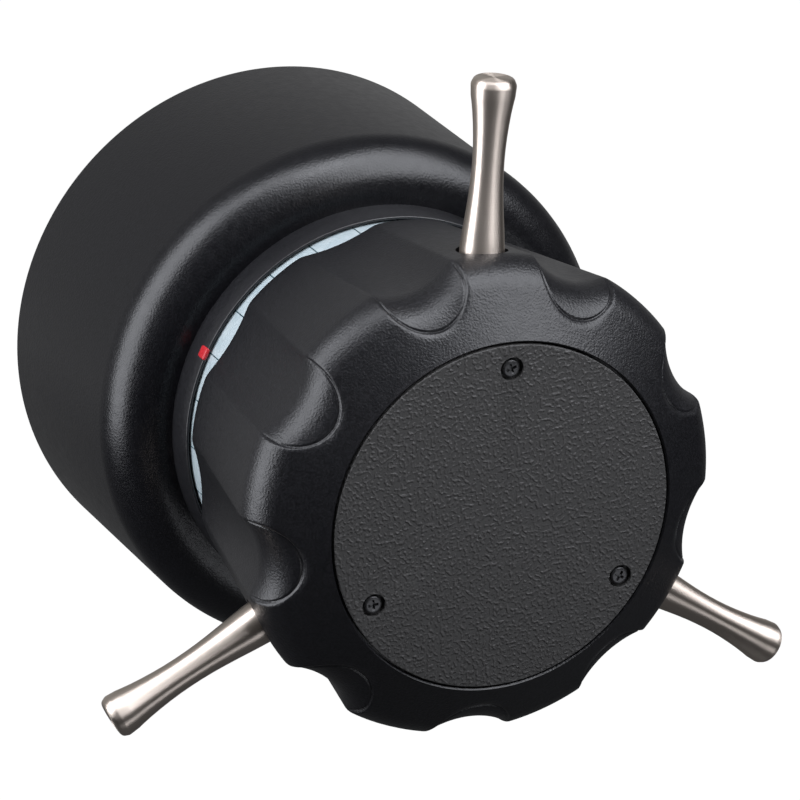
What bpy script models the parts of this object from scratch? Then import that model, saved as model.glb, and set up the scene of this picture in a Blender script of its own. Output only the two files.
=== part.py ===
"""Focus demand: a three-handled fluted knob that turns in a drum housing.

Metres, +Z up. The knob's axis is the Y axis and the front faces -Y. The origin is the centre of
the flat mounting pad on the rear cover. Angles run clockwise from up, as seen from the front.
"""
from math import asin, cos, pi, radians, sin, sqrt, tan

import bmesh
import bpy
from mathutils import Matrix, Vector

# Shared clearances and faceting
SEAT_GAP = 0.0003
CUT_OVERRUN = 0.002
WELD_DISTANCE = 0.00001
MERGE_DISTANCE = 0.000003
ROUND_STEPS = 48
KNOB_STEPS = 54
MEDIUM_STEPS = 20
SMALL_STEPS = 14
FINE_STEPS = 8
CORNER_STEPS = 3
SHARP_ANGLE = radians(35)
TURN = 2 * pi

# Depths along the axis, from the rear pad towards the front
PAD_HEIGHT = 0.003
PAD_INSET = 0.024
PAD_CHAMFER = 0.0006
DRUM_DEPTH = 0.0585
RING_HEIGHT = 0.0065
KNOB_BACK_GAP = 0.006
KNOB_DEPTH = 0.054

# Drum housing
DRUM_REAR_RADIUS = 0.0572
DRUM_TAPER = 0.0012
DRUM_SHOULDER = 0.010
DRUM_SHOULDER_STEPS = 5
DRUM_WALL = 0.003
DRUM_LEDGE_WIDTH = 0.0112
DRUM_LEDGE_DEPTH = 0.008
DRUM_REAR_CHAMFER = 0.0005

# Rear cover
COVER_THICKNESS = 0.004
COVER_SCREW_INSET = 0.0077
COVER_SCREW_COUNT = 4
COVER_SCREW_START = radians(45)
PAD_HOLE_RADIUS = 0.00165
PAD_HOLE_INSET = 0.00432
PAD_HOLE_DEPTH = 0.0055
STANDOFF_RADIUS = 0.003
STANDOFF_HEIGHT = 0.007
STANDOFF_INSET = 0.012
STANDOFF_COUNT = 3
STANDOFF_START = radians(0)

# Cover, flange and tube screws
SCREW_RADIUS = 0.0015
SCREW_HEAD_RADIUS = 0.0026
SCREW_HEAD_HEIGHT = 0.0016
SCREW_SINK = 0.0002
COVER_SCREW_LENGTH = 0.0075
BOARD_SCREW_LENGTH = 0.0050
TUBE_SCREW_LENGTH = 0.0055
HUB_SCREW_LENGTH = 0.0075

# Index ring round the knob's skirt
RING_SETBACK = 0.0022
RING_TAPER = 0.0006
RING_WALL = 0.0006
RING_FLANGE_WIDTH = 0.0046
RING_FLANGE_THICKNESS = 0.002
RING_SCREW_INSET = 0.0024
RING_SCREW_COUNT = 3
RING_SCREW_START = radians(60)
RING_SCREW_RADIUS = 0.0009
RING_SCREW_HEAD_RADIUS = 0.0016
RING_SCREW_HEAD_HEIGHT = 0.0009
RING_SCREW_LENGTH = 0.0035
MARK_RADIUS = 0.0013
MARK_INSET = 0.0017
MARK_PROUD = 0.0003
MARK_ANGLE = radians(-63.4)

# Knob grip
GRIP_TAPER = 0.0057
GRIP_OVERHANG = 0.0007
GRIP_SHOULDER = 0.0055
GRIP_SHOULDER_STEPS = 5
GRIP_CONE_ANGLE = radians(29)
GRIP_RIM_WIDTH = 0.0142
FACE_THICKNESS = 0.0024
FACE_CHAMFER = 0.0003
WEB_THICKNESS = 0.005
WEB_BORE_RADIUS = 0.0093
GRIP_WALL = 0.0082
GRIP_SEAT_DEPTH = 0.010
KNOB_REST_TURN = radians(3.9)
LOBE_COUNT = 9

# Flutes of the knob grip
FLUTE_HALF_WIDTH = 0.0088
FLUTE_DEPTH_BACK = 0.0017
FLUTE_DEPTH_FRONT = 0.0038
FLUTE_STEP = 0.0005
FLUTE_SHOULDER = 0.007
FLUTE_REACH = 0.0089
FLUTE_ROLL_STEPS = 4
FLUTE_MOUTH_ANGLES = [radians(62), radians(76), radians(86)]
FLUTE_ARC_STEPS = 6
FLUTE_MOUTH_HALVINGS = 30
FLUTE_MARGIN = 0.001
FLUTE_CLEAR_HEIGHT = 0.012

# Face disc screws
FACE_SCREW_INSET = 0.0052
FACE_SCREW_COUNT = 3
FACE_SCREW_TURN = radians(-0.8)
FACE_SCREW_RADIUS = 0.0010
FACE_SCREW_HEAD_RADIUS = 0.0019
FACE_SCREW_HEAD_HEIGHT = 0.0010
FACE_SCREW_CROWN = 0.0003
FACE_SCREW_SINK = 0.0003
FACE_SCREW_LENGTH = 0.0045
FACE_SINK_RADIUS = 0.00245

# Handles
HANDLE_COUNT = 3
HANDLE_DEPTH = 0.0181
HANDLE_REACH = 0.034
HANDLE_TIP_RADIUS = 0.0045
HANDLE_WAIST_RADIUS = 0.0029
HANDLE_BASE_RADIUS = 0.0045
HANDLE_WAIST_REACH = 0.017
HANDLE_FOOT_SINK = 0.0002
HANDLE_BAND = 0.0024
HANDLE_EDGE = 0.0012
HANDLE_SOCKET_RADIUS = 0.0052
HANDLE_SOCKET_DEPTH = 0.0044
HANDLE_STUD_RADIUS = 0.0020
HANDLE_STUD_MARGIN = 0.0008
HANDLE_CURVE_STEPS = 4

# Scale ring and its strip
SCALE_RUNNING_GAP = 0.0004
SCALE_STRIP_THICKNESS = 0.0003
SCALE_STEP_WIDTH = 0.0031
SCALE_WALL = 0.0023
SCALE_BACK_GAP = 0.0007
SCALE_STRIP_WIDTH = 0.0075

# Hub and spindle
HUB_RADIUS = 0.017
HUB_FLANGE = 0.0045
HUB_SLEEVE_RADIUS = 0.009
HUB_LENGTH = 0.022
HUB_SCREW_CIRCLE = 0.0132
HUB_SCREW_COUNT = 3
HUB_SCREW_START = radians(60)
SPINDLE_RADIUS = 0.005
SPINDLE_THREAD_RADIUS = 0.004
SPINDLE_COLLAR_RADIUS = 0.0066
SPINDLE_COLLAR_LENGTH = 0.0085
SPINDLE_TAIL = 0.0015
WASHER_RADIUS = 0.0072
WASHER_THICKNESS = 0.0008
NUT_RADIUS = 0.0069
NUT_HEIGHT = 0.0030
NUT_SIDES = 6

# Bearing tube and bearings
TUBE_WALL = 0.0037
TUBE_WALL_BORE = 0.0085
TUBE_FLANGE_THICKNESS = 0.0040
TUBE_SCREW_INSET = 0.0055
TUBE_SCREW_MARGIN = 0.0045
TUBE_SCREW_COUNT = 3
TUBE_SCREW_START = radians(0)
TUBE_REAR_FLANGE_RADIUS = 0.0205
TUBE_REAR_FLANGE_THICKNESS = 0.0045
TAIL_ROOM = 0.0277
BEARING_OUTER_RADIUS = 0.011
BEARING_WIDTH = 0.007
BEARING_SPLIT_RADIUS = 0.008

# Drive gear, pinion and stops
GEAR_MODULE = 0.00075
GEAR_TEETH = 48
PINION_TEETH = 16
GEAR_PRESSURE_ANGLE = radians(20)
GEAR_BACKLASH = 0.00008
GEAR_TOP_SHARE = 0.92
GEAR_ROOT_SHARE = 1.2
GEAR_FLANK_STEPS = 2
GEAR_WIDTH = 0.005
GEAR_OFFSET = 0.0062
PINION_WIDTH = 0.006
STOP_LUG_RADIUS = 0.0225
STOP_LUG_HALF_ANGLE = radians(5)
STOP_LUG_ANGLE = radians(180)
STOP_PIN_RADIUS = 0.0012
STOP_PIN_CIRCLE = 0.0210
STOP_PIN_REACH = 0.0072
KNOB_HALF_TURN = radians(75)
STOP_MARGIN = radians(1.5)

# Encoder and its bracket
ENCODER_ANGLE = radians(0)
ENCODER_RADIUS = 0.0080
ENCODER_LENGTH_SHARE = 0.64
ENCODER_SHAFT_RADIUS = 0.0020
ENCODER_BORE_SHARE = 0.72
BRACKET_THICKNESS = 0.0025
BRACKET_BORE_RADIUS = 0.0118
BRACKET_ARM_RADIUS = 0.0088
BRACKET_SCREW_CIRCLE = 0.0175
BRACKET_SCREW_ANGLES = [radians(120), radians(240)]
BRACKET_SCREW_LENGTH = 0.0048
BRACKET_SCREW_RADIUS = 0.0010
BRACKET_HEAD_RADIUS = 0.0019
BRACKET_HEAD_HEIGHT = 0.0014

# Circuit board
BOARD_MARGIN = 0.006
BOARD_THICKNESS = 0.0016
BOARD_CLEARANCE = 0.0015
CHIP_SIDE = 0.012
CHIP_HEIGHT = 0.0014
HEADER_LENGTH = 0.014
HEADER_DEPTH = 0.005
HEADER_HEIGHT = 0.0024
CHIP_ACROSS = 0.014
CHIP_UP = 0.006
HEADER_ACROSS = -0.014
HEADER_EDGE = 0.0113

# Cable connector in the rear cover
CONNECTOR_FLANGE = 0.017
CONNECTOR_FLANGE_THICKNESS = 0.0012
CONNECTOR_RADIUS = 0.0072
CONNECTOR_BORE_RADIUS = 0.0062
CONNECTOR_LENGTH = 0.0095
CONNECTOR_LIP = 0.0008
CONNECTOR_CORNER = 0.0015
INSERT_THICKNESS = 0.0035
INSERT_BACK_REACH = 0.0010
PIN_RADIUS = 0.0005
PIN_LENGTH = 0.0028
PIN_CIRCLE = 0.0034
PIN_COUNT = 6
CONNECTOR_SCREW_SPREAD = 0.0063
CONNECTOR_SCREW_RADIUS = 0.0009
CONNECTOR_HEAD_RADIUS = 0.0016
CONNECTOR_HEAD_HEIGHT = 0.0010
CONNECTOR_SCREW_LENGTH = 0.0040

# Radii worked out from the drum's, from the outside in and from the back to the front
DRUM_FRONT_RADIUS = DRUM_REAR_RADIUS - DRUM_TAPER
DRUM_LEDGE_RADIUS = DRUM_REAR_RADIUS - DRUM_LEDGE_WIDTH
COVER_SCREW_CIRCLE = DRUM_REAR_RADIUS - COVER_SCREW_INSET
STANDOFF_CIRCLE = DRUM_LEDGE_RADIUS - STANDOFF_INSET
PAD_RADIUS = DRUM_LEDGE_RADIUS - PAD_INSET
PAD_HOLE_SPREAD = (PAD_RADIUS - PAD_HOLE_INSET) * sin(pi / 4)
CONNECTOR_DROP = (PAD_RADIUS + DRUM_LEDGE_RADIUS) / 2
BOARD_RADIUS = DRUM_LEDGE_RADIUS - BOARD_MARGIN
BOARD_FLAT = CONNECTOR_DROP - CONNECTOR_RADIUS - BOARD_CLEARANCE
HEADER_UP = HEADER_EDGE - BOARD_FLAT
RING_BASE_RADIUS = DRUM_FRONT_RADIUS - DRUM_SHOULDER - RING_SETBACK
RING_FRONT_RADIUS = RING_BASE_RADIUS - RING_TAPER
RING_BORE_RADIUS = RING_FRONT_RADIUS - RING_WALL
RING_FLANGE_RADIUS = RING_BORE_RADIUS - RING_FLANGE_WIDTH
RING_SCREW_CIRCLE = RING_BORE_RADIUS - RING_SCREW_INSET
TUBE_RADIUS = BEARING_OUTER_RADIUS + SEAT_GAP + TUBE_WALL
TUBE_SCREW_CIRCLE = RING_FLANGE_RADIUS - TUBE_SCREW_INSET
TUBE_FLANGE_RADIUS = TUBE_SCREW_CIRCLE + TUBE_SCREW_MARGIN
DRUM_MOUTH_RADIUS = TUBE_SCREW_CIRCLE - TUBE_SCREW_MARGIN
SCALE_RADIUS = RING_BORE_RADIUS - SCALE_RUNNING_GAP - SCALE_STRIP_THICKNESS
GRIP_SEAT_RADIUS = SCALE_RADIUS - SCALE_STEP_WIDTH
SCALE_BORE_RADIUS = GRIP_SEAT_RADIUS - SCALE_WALL
GRIP_BACK_RADIUS = RING_BASE_RADIUS + GRIP_OVERHANG
GRIP_RADIUS = GRIP_BACK_RADIUS + GRIP_TAPER
GRIP_CAVITY_RADIUS = GRIP_RADIUS - GRIP_WALL
FACE_RADIUS = GRIP_RADIUS - GRIP_RIM_WIDTH
FACE_SCREW_CIRCLE = FACE_RADIUS - FACE_SCREW_INSET
FLUTE_END_RADIUS = GRIP_RADIUS - FLUTE_REACH
HANDLE_END_RADIUS = GRIP_RADIUS + HANDLE_REACH
HANDLE_WAIST_AT = GRIP_RADIUS + HANDLE_WAIST_REACH
HANDLE_BASE_AT = GRIP_RADIUS - HANDLE_FOOT_SINK
HANDLE_SOCKET_FLOOR = GRIP_RADIUS - HANDLE_SOCKET_DEPTH
HANDLE_STUD_END = GRIP_CAVITY_RADIUS + HANDLE_STUD_MARGIN

# Planes along the axis, worked out from the depths above
COVER_BACK = -PAD_HEIGHT
COVER_FRONT = COVER_BACK - COVER_THICKNESS
DRUM_FACE = COVER_BACK - DRUM_DEPTH
DRUM_INNER_FACE = DRUM_FACE + DRUM_WALL
RING_FRONT = DRUM_FACE - RING_HEIGHT
KNOB_BACK = RING_FRONT - KNOB_BACK_GAP
KNOB_FACE = KNOB_BACK - KNOB_DEPTH
FACE_BACK = KNOB_FACE + FACE_THICKNESS
WEB_FRONT = FACE_BACK + SEAT_GAP
WEB_BACK = WEB_FRONT + WEB_THICKNESS
HANDLE_Y = KNOB_FACE + HANDLE_DEPTH
HUB_FRONT = WEB_BACK + SEAT_GAP
HUB_BACK = HUB_FRONT + HUB_LENGTH
COLLAR_FRONT = HUB_BACK + SEAT_GAP
COLLAR_BACK = COLLAR_FRONT + SPINDLE_COLLAR_LENGTH
FRONT_BEARING = COLLAR_BACK + SEAT_GAP
TUBE_FLANGE_FRONT = DRUM_INNER_FACE + SEAT_GAP
TUBE_FLANGE_BACK = TUBE_FLANGE_FRONT + TUBE_FLANGE_THICKNESS
TUBE_BACK = COVER_FRONT - TAIL_ROOM
REAR_BEARING = TUBE_BACK - SEAT_GAP - BEARING_WIDTH
BRACKET_FRONT = TUBE_BACK + SEAT_GAP
BRACKET_BACK = BRACKET_FRONT + BRACKET_THICKNESS
ENCODER_BODY_BACK = BRACKET_FRONT - SEAT_GAP
ENCODER_LENGTH = (TUBE_BACK - TUBE_FLANGE_BACK) * ENCODER_LENGTH_SHARE
ENCODER_BORE_DEPTH = ENCODER_LENGTH * ENCODER_BORE_SHARE
GEAR_FRONT = TUBE_BACK + GEAR_OFFSET
GEAR_BACK = GEAR_FRONT + GEAR_WIDTH
BOARD_BACK = COVER_FRONT - STANDOFF_HEIGHT - SEAT_GAP
BOARD_FRONT = BOARD_BACK - BOARD_THICKNESS
GEAR_CENTRES = GEAR_MODULE * (GEAR_TEETH + PINION_TEETH) / 2
NUT_REACH = WASHER_THICKNESS + NUT_HEIGHT + 3 * SEAT_GAP


# Placing and turning helpers
def clear_scene():
    for old in list(bpy.data.objects):
        bpy.data.objects.remove(old, do_unlink=True)


def clock(radius, y, angle):
    """Point at a radius and an angle clockwise from up, seen from the front."""
    return Vector((radius * sin(angle), y, radius * cos(angle)))


def round_angles(count, start):
    return [start + TURN * index / count for index in range(count)]


def make_material(name, colour, roughness, metallic):
    made = bpy.data.materials.new(name)
    made.use_nodes = True
    shader = made.node_tree.nodes["Principled BSDF"]
    shader.inputs["Base Color"].default_value = (*colour, 1)
    shader.inputs["Roughness"].default_value = roughness
    shader.inputs["Metallic"].default_value = metallic
    return made


def make_object(name, shape, look, parent=None):
    """Turn a bmesh into a named object, shaded smooth but for its edges."""
    bmesh.ops.recalc_face_normals(shape, faces=shape.faces)
    mesh = bpy.data.meshes.new(name)
    shape.to_mesh(mesh)
    shape.free()
    mesh.shade_smooth()
    mesh.set_sharp_from_angle(angle=SHARP_ANGLE)
    return place_mesh(name, mesh, look, parent)


def place_mesh(name, mesh, look, parent=None, place=None):
    made = bpy.data.objects.new(name, mesh)
    bpy.context.scene.collection.objects.link(made)
    if not mesh.materials:
        mesh.materials.append(look)
    made.parent = parent
    if place is not None:
        made.matrix_local = place
    return made


def arc(centre, start, end, steps):
    """Points of the shorter arc about a centre, both ends included."""
    first = start - centre
    sweep = first.angle_signed(end - centre)
    return [centre + Matrix.Rotation(-sweep * step / steps, 2) @ first for step in range(steps + 1)]


def rounded_corner(before, corner, after, radius, steps):
    """Points of the fillet between two lines that meet at a corner."""
    back = (before - corner).normalized()
    ahead = (after - corner).normalized()
    half = back.angle(ahead) / 2
    reach = radius / tan(half)
    centre = corner + (back + ahead).normalized() * radius / sin(half)
    return arc(centre, corner + back * reach, corner + ahead * reach, steps)


def lathe(outline, steps):
    """Spin a closed outline of (radius, y) points about the Y axis."""
    shape = bmesh.new()
    rim = [shape.verts.new((0, point[1], point[0])) for point in outline]
    edges = [shape.edges.new((rim[i - 1], rim[i])) for i in range(len(rim))]
    bmesh.ops.spin(shape, geom=rim + edges, cent=(0, 0, 0), axis=(0, 1, 0), angle=TURN, steps=steps)
    bmesh.ops.remove_doubles(shape, verts=shape.verts, dist=MERGE_DISTANCE)
    bmesh.ops.dissolve_degenerate(shape, edges=shape.edges, dist=MERGE_DISTANCE)
    flat = [edge for edge in shape.edges if not edge.link_faces]
    bmesh.ops.delete(shape, geom=flat, context="EDGES")
    return shape


def rod(radius, front, back, steps=SMALL_STEPS):
    """Plain round bar on the Y axis."""
    return lathe([(0, front), (radius, front), (radius, back), (0, back)], steps)


def prism(outline, front, back):
    """Extrude a flat outline of (x, z) points along Y."""
    shape = bmesh.new()
    face = shape.faces.new([shape.verts.new((x, front, z)) for x, z in outline])
    pushed = bmesh.ops.extrude_face_region(shape, geom=[face])
    moved = [item for item in pushed["geom"] if isinstance(item, bmesh.types.BMVert)]
    bmesh.ops.translate(shape, verts=moved, vec=(0, back - front, 0))
    bmesh.ops.recalc_face_normals(shape, faces=shape.faces)
    return shape


def repeat(shape, places):
    """One bmesh with a copy of the shape at each place."""
    mesh = bpy.data.meshes.new("pattern")
    bmesh.ops.recalc_face_normals(shape, faces=shape.faces)
    shape.to_mesh(mesh)
    shape.free()
    joined = bmesh.new()
    for place in places:
        before = len(joined.verts)
        joined.from_mesh(mesh)
        joined.verts.ensure_lookup_table()
        bmesh.ops.transform(joined, matrix=place, verts=joined.verts[before:])
    bpy.data.meshes.remove(mesh)
    return joined


def join_or_cut(target, tool, name, operation):
    """Add or take away a shape with a Boolean on the target object."""
    helper = make_object(name, tool, target.data.materials[0], target.parent)
    helper.hide_render = True
    helper.display_type = "WIRE"
    change = target.modifiers.new(name, "BOOLEAN")
    change.operation = operation
    change.solver = "EXACT"
    change.object = helper
    seam = target.modifiers.new(name + "_seam", "WELD")
    seam.merge_threshold = WELD_DISTANCE


def cut(target, tool, name):
    join_or_cut(target, tool, name, "DIFFERENCE")


def join(target, tool, name):
    join_or_cut(target, tool, name, "UNION")


def at_circle(circle, angles, y=0):
    return [Matrix.Translation(clock(circle, y, angle)) for angle in angles]


# Screws and the holes that take them
def screw_outline(shank, head, head_height, length, crown=0):
    """Half outline of a screw that points to +Y, with its head's seat at y = 0."""
    top = [(head - crown, -head_height)] if crown else []
    outline = [(0, -head_height)] + top + [(head, crown - head_height), (head, 0)]
    return outline + [(shank, 0), (shank, length), (0, length)]


def add_screws(name, outline, places, look, parent=None):
    first = lathe(outline, FINE_STEPS)
    mesh = bpy.data.meshes.new(name)
    bmesh.ops.recalc_face_normals(first, faces=first.faces)
    first.to_mesh(mesh)
    first.free()
    mesh.shade_smooth()
    mesh.set_sharp_from_angle(angle=SHARP_ANGLE)
    for number, place in enumerate(places, 1):
        place_mesh(f"{name}_{number}", mesh, look, parent, place)


def sunk_hole(shank, sink, sink_depth, length):
    """Cutter for a shank hole with a sunk seat, seat floor at y = 0, pointing to +Y."""
    outline = [(0, -sink_depth - CUT_OVERRUN), (sink, -sink_depth - CUT_OVERRUN), (sink, 0)]
    return lathe(outline + [(shank, 0), (shank, length), (0, length)], FINE_STEPS)


def plain_holes(radius, length, places):
    return repeat(rod(radius, -CUT_OVERRUN, length, FINE_STEPS), places)


# Housing
def drum_radius_at(y):
    share = (y - DRUM_FACE) / DRUM_DEPTH
    return DRUM_FRONT_RADIUS + (DRUM_REAR_RADIUS - DRUM_FRONT_RADIUS) * share


def tube_screw_places(y):
    return at_circle(TUBE_SCREW_CIRCLE, round_angles(TUBE_SCREW_COUNT, TUBE_SCREW_START), y)


def ring_screw_places(y):
    return at_circle(RING_SCREW_CIRCLE, round_angles(RING_SCREW_COUNT, RING_SCREW_START), y)


def cover_screw_places(y):
    turned = [Matrix.Rotation(pi, 4, "X")] * COVER_SCREW_COUNT
    spots = at_circle(COVER_SCREW_CIRCLE, round_angles(COVER_SCREW_COUNT, COVER_SCREW_START), y)
    return [spot @ turn for spot, turn in zip(spots, turned)]


def make_drum_housing(look):
    """Cast cup: tapered wall, wide shoulder, flat face with a mouth, ledge for the cover."""
    edge = Vector((DRUM_FRONT_RADIUS, DRUM_FACE))
    mouth = Vector((DRUM_MOUTH_RADIUS, DRUM_FACE))
    rim = Vector((DRUM_REAR_RADIUS, COVER_BACK))
    outer = rounded_corner(mouth, edge, rim, DRUM_SHOULDER, DRUM_SHOULDER_STEPS)
    inner_edge = Vector((DRUM_FRONT_RADIUS - DRUM_WALL, DRUM_INNER_FACE))
    inner_mouth = Vector((DRUM_MOUTH_RADIUS, DRUM_INNER_FACE))
    seat = COVER_FRONT - SEAT_GAP
    ledge_front = seat - DRUM_LEDGE_DEPTH
    inner_ledge = Vector((drum_radius_at(ledge_front) - DRUM_WALL, ledge_front))
    inner_radius = DRUM_SHOULDER - DRUM_WALL
    inner = rounded_corner(inner_ledge, inner_edge, inner_mouth, inner_radius, DRUM_SHOULDER_STEPS - 2)
    outline = [mouth] + outer
    outline += [(DRUM_REAR_RADIUS, COVER_BACK - DRUM_REAR_CHAMFER)]
    outline += [(DRUM_REAR_RADIUS - DRUM_REAR_CHAMFER, COVER_BACK)]
    outline += [(DRUM_REAR_RADIUS - DRUM_WALL, COVER_BACK), (DRUM_REAR_RADIUS - DRUM_WALL, seat)]
    outline += [(DRUM_LEDGE_RADIUS, seat), (DRUM_LEDGE_RADIUS, ledge_front), inner_ledge]
    outline += inner + [inner_mouth]
    drum = make_object("drum_housing", lathe(outline, ROUND_STEPS), look)
    holes = plain_holes(SCREW_RADIUS + SEAT_GAP, DRUM_WALL + CUT_OVERRUN, tube_screw_places(DRUM_FACE))
    cut(drum, holes, "tube_screw_holes")
    ring_depth = RING_SCREW_LENGTH - ring_seat_thickness()
    holes = plain_holes(RING_SCREW_RADIUS + SEAT_GAP, ring_depth + SEAT_GAP, ring_screw_places(DRUM_FACE))
    cut(drum, holes, "ring_screw_holes")
    taps = plain_holes(SCREW_RADIUS + SEAT_GAP, COVER_SCREW_LENGTH, cover_screw_places(seat))
    cut(drum, taps, "cover_screw_holes")
    return drum


def cover_seat():
    """Plane of the sunk seats under the cover screws' heads."""
    return COVER_BACK - SCREW_HEAD_HEIGHT - SCREW_SINK - SEAT_GAP


def make_rear_cover(look):
    """Flat lid with the raised mounting pad, board standoffs and the connector's hole."""
    radius = DRUM_REAR_RADIUS - DRUM_WALL - SEAT_GAP
    outline = [(0, COVER_FRONT), (radius, COVER_FRONT), (radius, COVER_BACK)]
    outline += [(PAD_RADIUS, COVER_BACK), (PAD_RADIUS, -PAD_CHAMFER), (PAD_RADIUS - PAD_CHAMFER, 0), (0, 0)]
    cover = make_object("rear_cover", lathe(outline, ROUND_STEPS), look)
    posts = rod(STANDOFF_RADIUS, -STANDOFF_HEIGHT, COVER_THICKNESS / 2, FINE_STEPS)
    angles = round_angles(STANDOFF_COUNT, STANDOFF_START)
    join(cover, repeat(posts, at_circle(STANDOFF_CIRCLE, angles, COVER_FRONT)), "standoffs")
    post_face = COVER_FRONT - STANDOFF_HEIGHT
    spots = at_circle(STANDOFF_CIRCLE, angles, post_face)
    cut(cover, plain_holes(SCREW_RADIUS + SEAT_GAP, BOARD_SCREW_LENGTH, spots), "standoff_bores")
    seats = sunk_hole(SCREW_RADIUS + SEAT_GAP, SCREW_HEAD_RADIUS + SEAT_GAP,
                      COVER_BACK - cover_seat() - SEAT_GAP, COVER_THICKNESS + CUT_OVERRUN)
    cut(cover, repeat(seats, cover_screw_places(cover_seat() - SEAT_GAP)), "cover_screw_seats")
    spread = [(x, z) for x in (-1, 1) for z in (-1, 1)]
    spots = [Vector((x * PAD_HOLE_SPREAD, -PAD_HOLE_DEPTH, z * PAD_HOLE_SPREAD)) for x, z in spread]
    taps = rod(PAD_HOLE_RADIUS, 0, PAD_HOLE_DEPTH + CUT_OVERRUN, FINE_STEPS)
    cut(cover, repeat(taps, [Matrix.Translation(spot) for spot in spots]), "pad_holes")
    hole = rod(CONNECTOR_RADIUS + SEAT_GAP, -COVER_THICKNESS - CUT_OVERRUN, CUT_OVERRUN)
    cut(cover, repeat(hole, [connector_place(COVER_BACK)]), "connector_hole")
    depth = CONNECTOR_SCREW_LENGTH - CONNECTOR_FLANGE_THICKNESS
    taps = plain_holes(CONNECTOR_SCREW_RADIUS + SEAT_GAP, depth, connector_screw_places(COVER_BACK))
    cut(cover, taps, "connector_screw_holes")
    return cover


# Index ring
def ring_seat_thickness():
    """Flange left under a ring screw's head."""
    return RING_FLANGE_THICKNESS - RING_SCREW_HEAD_HEIGHT - SEAT_GAP


def make_index_ring(look, mark_look):
    """Low collar with an inward flange, and the index pip set in its edge."""
    base = DRUM_FACE - SEAT_GAP
    flange = base - RING_FLANGE_THICKNESS
    outline = [(RING_BORE_RADIUS, RING_FRONT), (RING_FRONT_RADIUS, RING_FRONT), (RING_BASE_RADIUS, base)]
    outline += [(RING_FLANGE_RADIUS, base), (RING_FLANGE_RADIUS, flange), (RING_BORE_RADIUS, flange)]
    ring = make_object("index_ring", lathe(outline, ROUND_STEPS), look)
    seats = sunk_hole(RING_SCREW_RADIUS + SEAT_GAP, RING_SCREW_HEAD_RADIUS + SEAT_GAP,
                      RING_SCREW_HEAD_HEIGHT, RING_FLANGE_THICKNESS + CUT_OVERRUN)
    cut(ring, repeat(seats, ring_screw_places(base - ring_seat_thickness())), "ring_screw_seats")
    mark_y = RING_FRONT + MARK_INSET
    outward = Matrix.Rotation(MARK_ANGLE, 4, "Y") @ Matrix.Rotation(pi / 2, 4, "X")
    centre = Matrix.Translation(clock(0, mark_y, 0)) @ outward
    hole = rod(MARK_RADIUS + SEAT_GAP, RING_FLANGE_RADIUS, RING_BASE_RADIUS + CUT_OVERRUN, FINE_STEPS)
    cut(ring, repeat(hole, [centre]), "mark_hole")
    pip_back = RING_BORE_RADIUS + SEAT_GAP / 2
    pip_front = RING_FRONT_RADIUS + MARK_PROUD
    outline = [(0, pip_back), (MARK_RADIUS, pip_back), (MARK_RADIUS, pip_front - MARK_PROUD)]
    outline += [(MARK_RADIUS - MARK_PROUD, pip_front), (0, pip_front)]
    pip = repeat(lathe(outline, FINE_STEPS), [centre])
    make_object("index_mark", pip, mark_look)
    return ring


# Knob grip with its flutes
def grip_radius_at(y):
    """Radius of the lobes along their tapered side."""
    full = KNOB_FACE + shoulder_depth()
    share = (y - full) / (KNOB_BACK - full)
    return GRIP_RADIUS + (GRIP_BACK_RADIUS - GRIP_RADIUS) * share


def shoulder_depth():
    """Depth behind the face at which the lobes reach their full radius."""
    rise = (GRIP_RADIUS - GRIP_SHOULDER - FACE_RADIUS) * tan(GRIP_CONE_ANGLE)
    return rise + GRIP_SHOULDER / cos(GRIP_CONE_ANGLE)


def grip_corner(inset, step):
    """Where the side line, moved in, meets the cone line, moved back."""
    cone_rise = tan(GRIP_CONE_ANGLE)
    start = KNOB_FACE + step / cos(GRIP_CONE_ANGLE)
    slope = (grip_radius_at(KNOB_BACK) - grip_radius_at(KNOB_FACE)) / KNOB_DEPTH
    side = grip_radius_at(KNOB_FACE) - inset
    height = (start + (side - FACE_RADIUS) * cone_rise - KNOB_FACE) / (1 - slope * cone_rise)
    return Vector((side + slope * height, KNOB_FACE + height))


def flute_path():
    """Stations down a flute's middle: point, outward normal and rise to its creases."""
    lobe_fall = FLUTE_HALF_WIDTH ** 2 / (2 * GRIP_RADIUS)
    corner = grip_corner(FLUTE_DEPTH_FRONT, FLUTE_STEP)
    back = Vector((GRIP_BACK_RADIUS - FLUTE_DEPTH_BACK, KNOB_BACK))
    overrun = back + (back - corner).normalized() * CUT_OVERRUN
    inward = Vector((-cos(GRIP_CONE_ANGLE), -sin(GRIP_CONE_ANGLE)))
    roll = rounded_corner(back, corner, corner + inward * FLUTE_SHOULDER, FLUTE_SHOULDER, FLUTE_ROLL_STEPS)
    side = (corner - back).normalized()
    normal = Vector((-side[1], side[0]))
    stations = [(overrun, normal, FLUTE_DEPTH_BACK - lobe_fall * normal[0])]
    for step, point in enumerate(roll):
        share = step / FLUTE_ROLL_STEPS
        turned = normal.slerp(Vector((sin(GRIP_CONE_ANGLE), -cos(GRIP_CONE_ANGLE))), share)
        depth = FLUTE_DEPTH_FRONT + (FLUTE_STEP - FLUTE_DEPTH_FRONT) * share
        stations.append((point, turned, depth - lobe_fall * turned[0]))
    end = roll[-1]
    centre = FLUTE_END_RADIUS + FLUTE_HALF_WIDTH
    for angle in FLUTE_MOUTH_ANGLES:
        reach = end[0] - (centre - FLUTE_HALF_WIDTH * sin(angle))
        if reach > 0:
            mouth = end + inward * reach / cos(GRIP_CONE_ANGLE)
            stations.append((mouth, *stations[-1][1:]))
    return stations


def scoop_rise(across, rise):
    """Height of the scooped floor above its middle, for a given rise to its creases."""
    bend = (FLUTE_HALF_WIDTH ** 2 + rise ** 2) / (2 * rise)
    return bend - sqrt(bend ** 2 - across ** 2)


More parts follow.
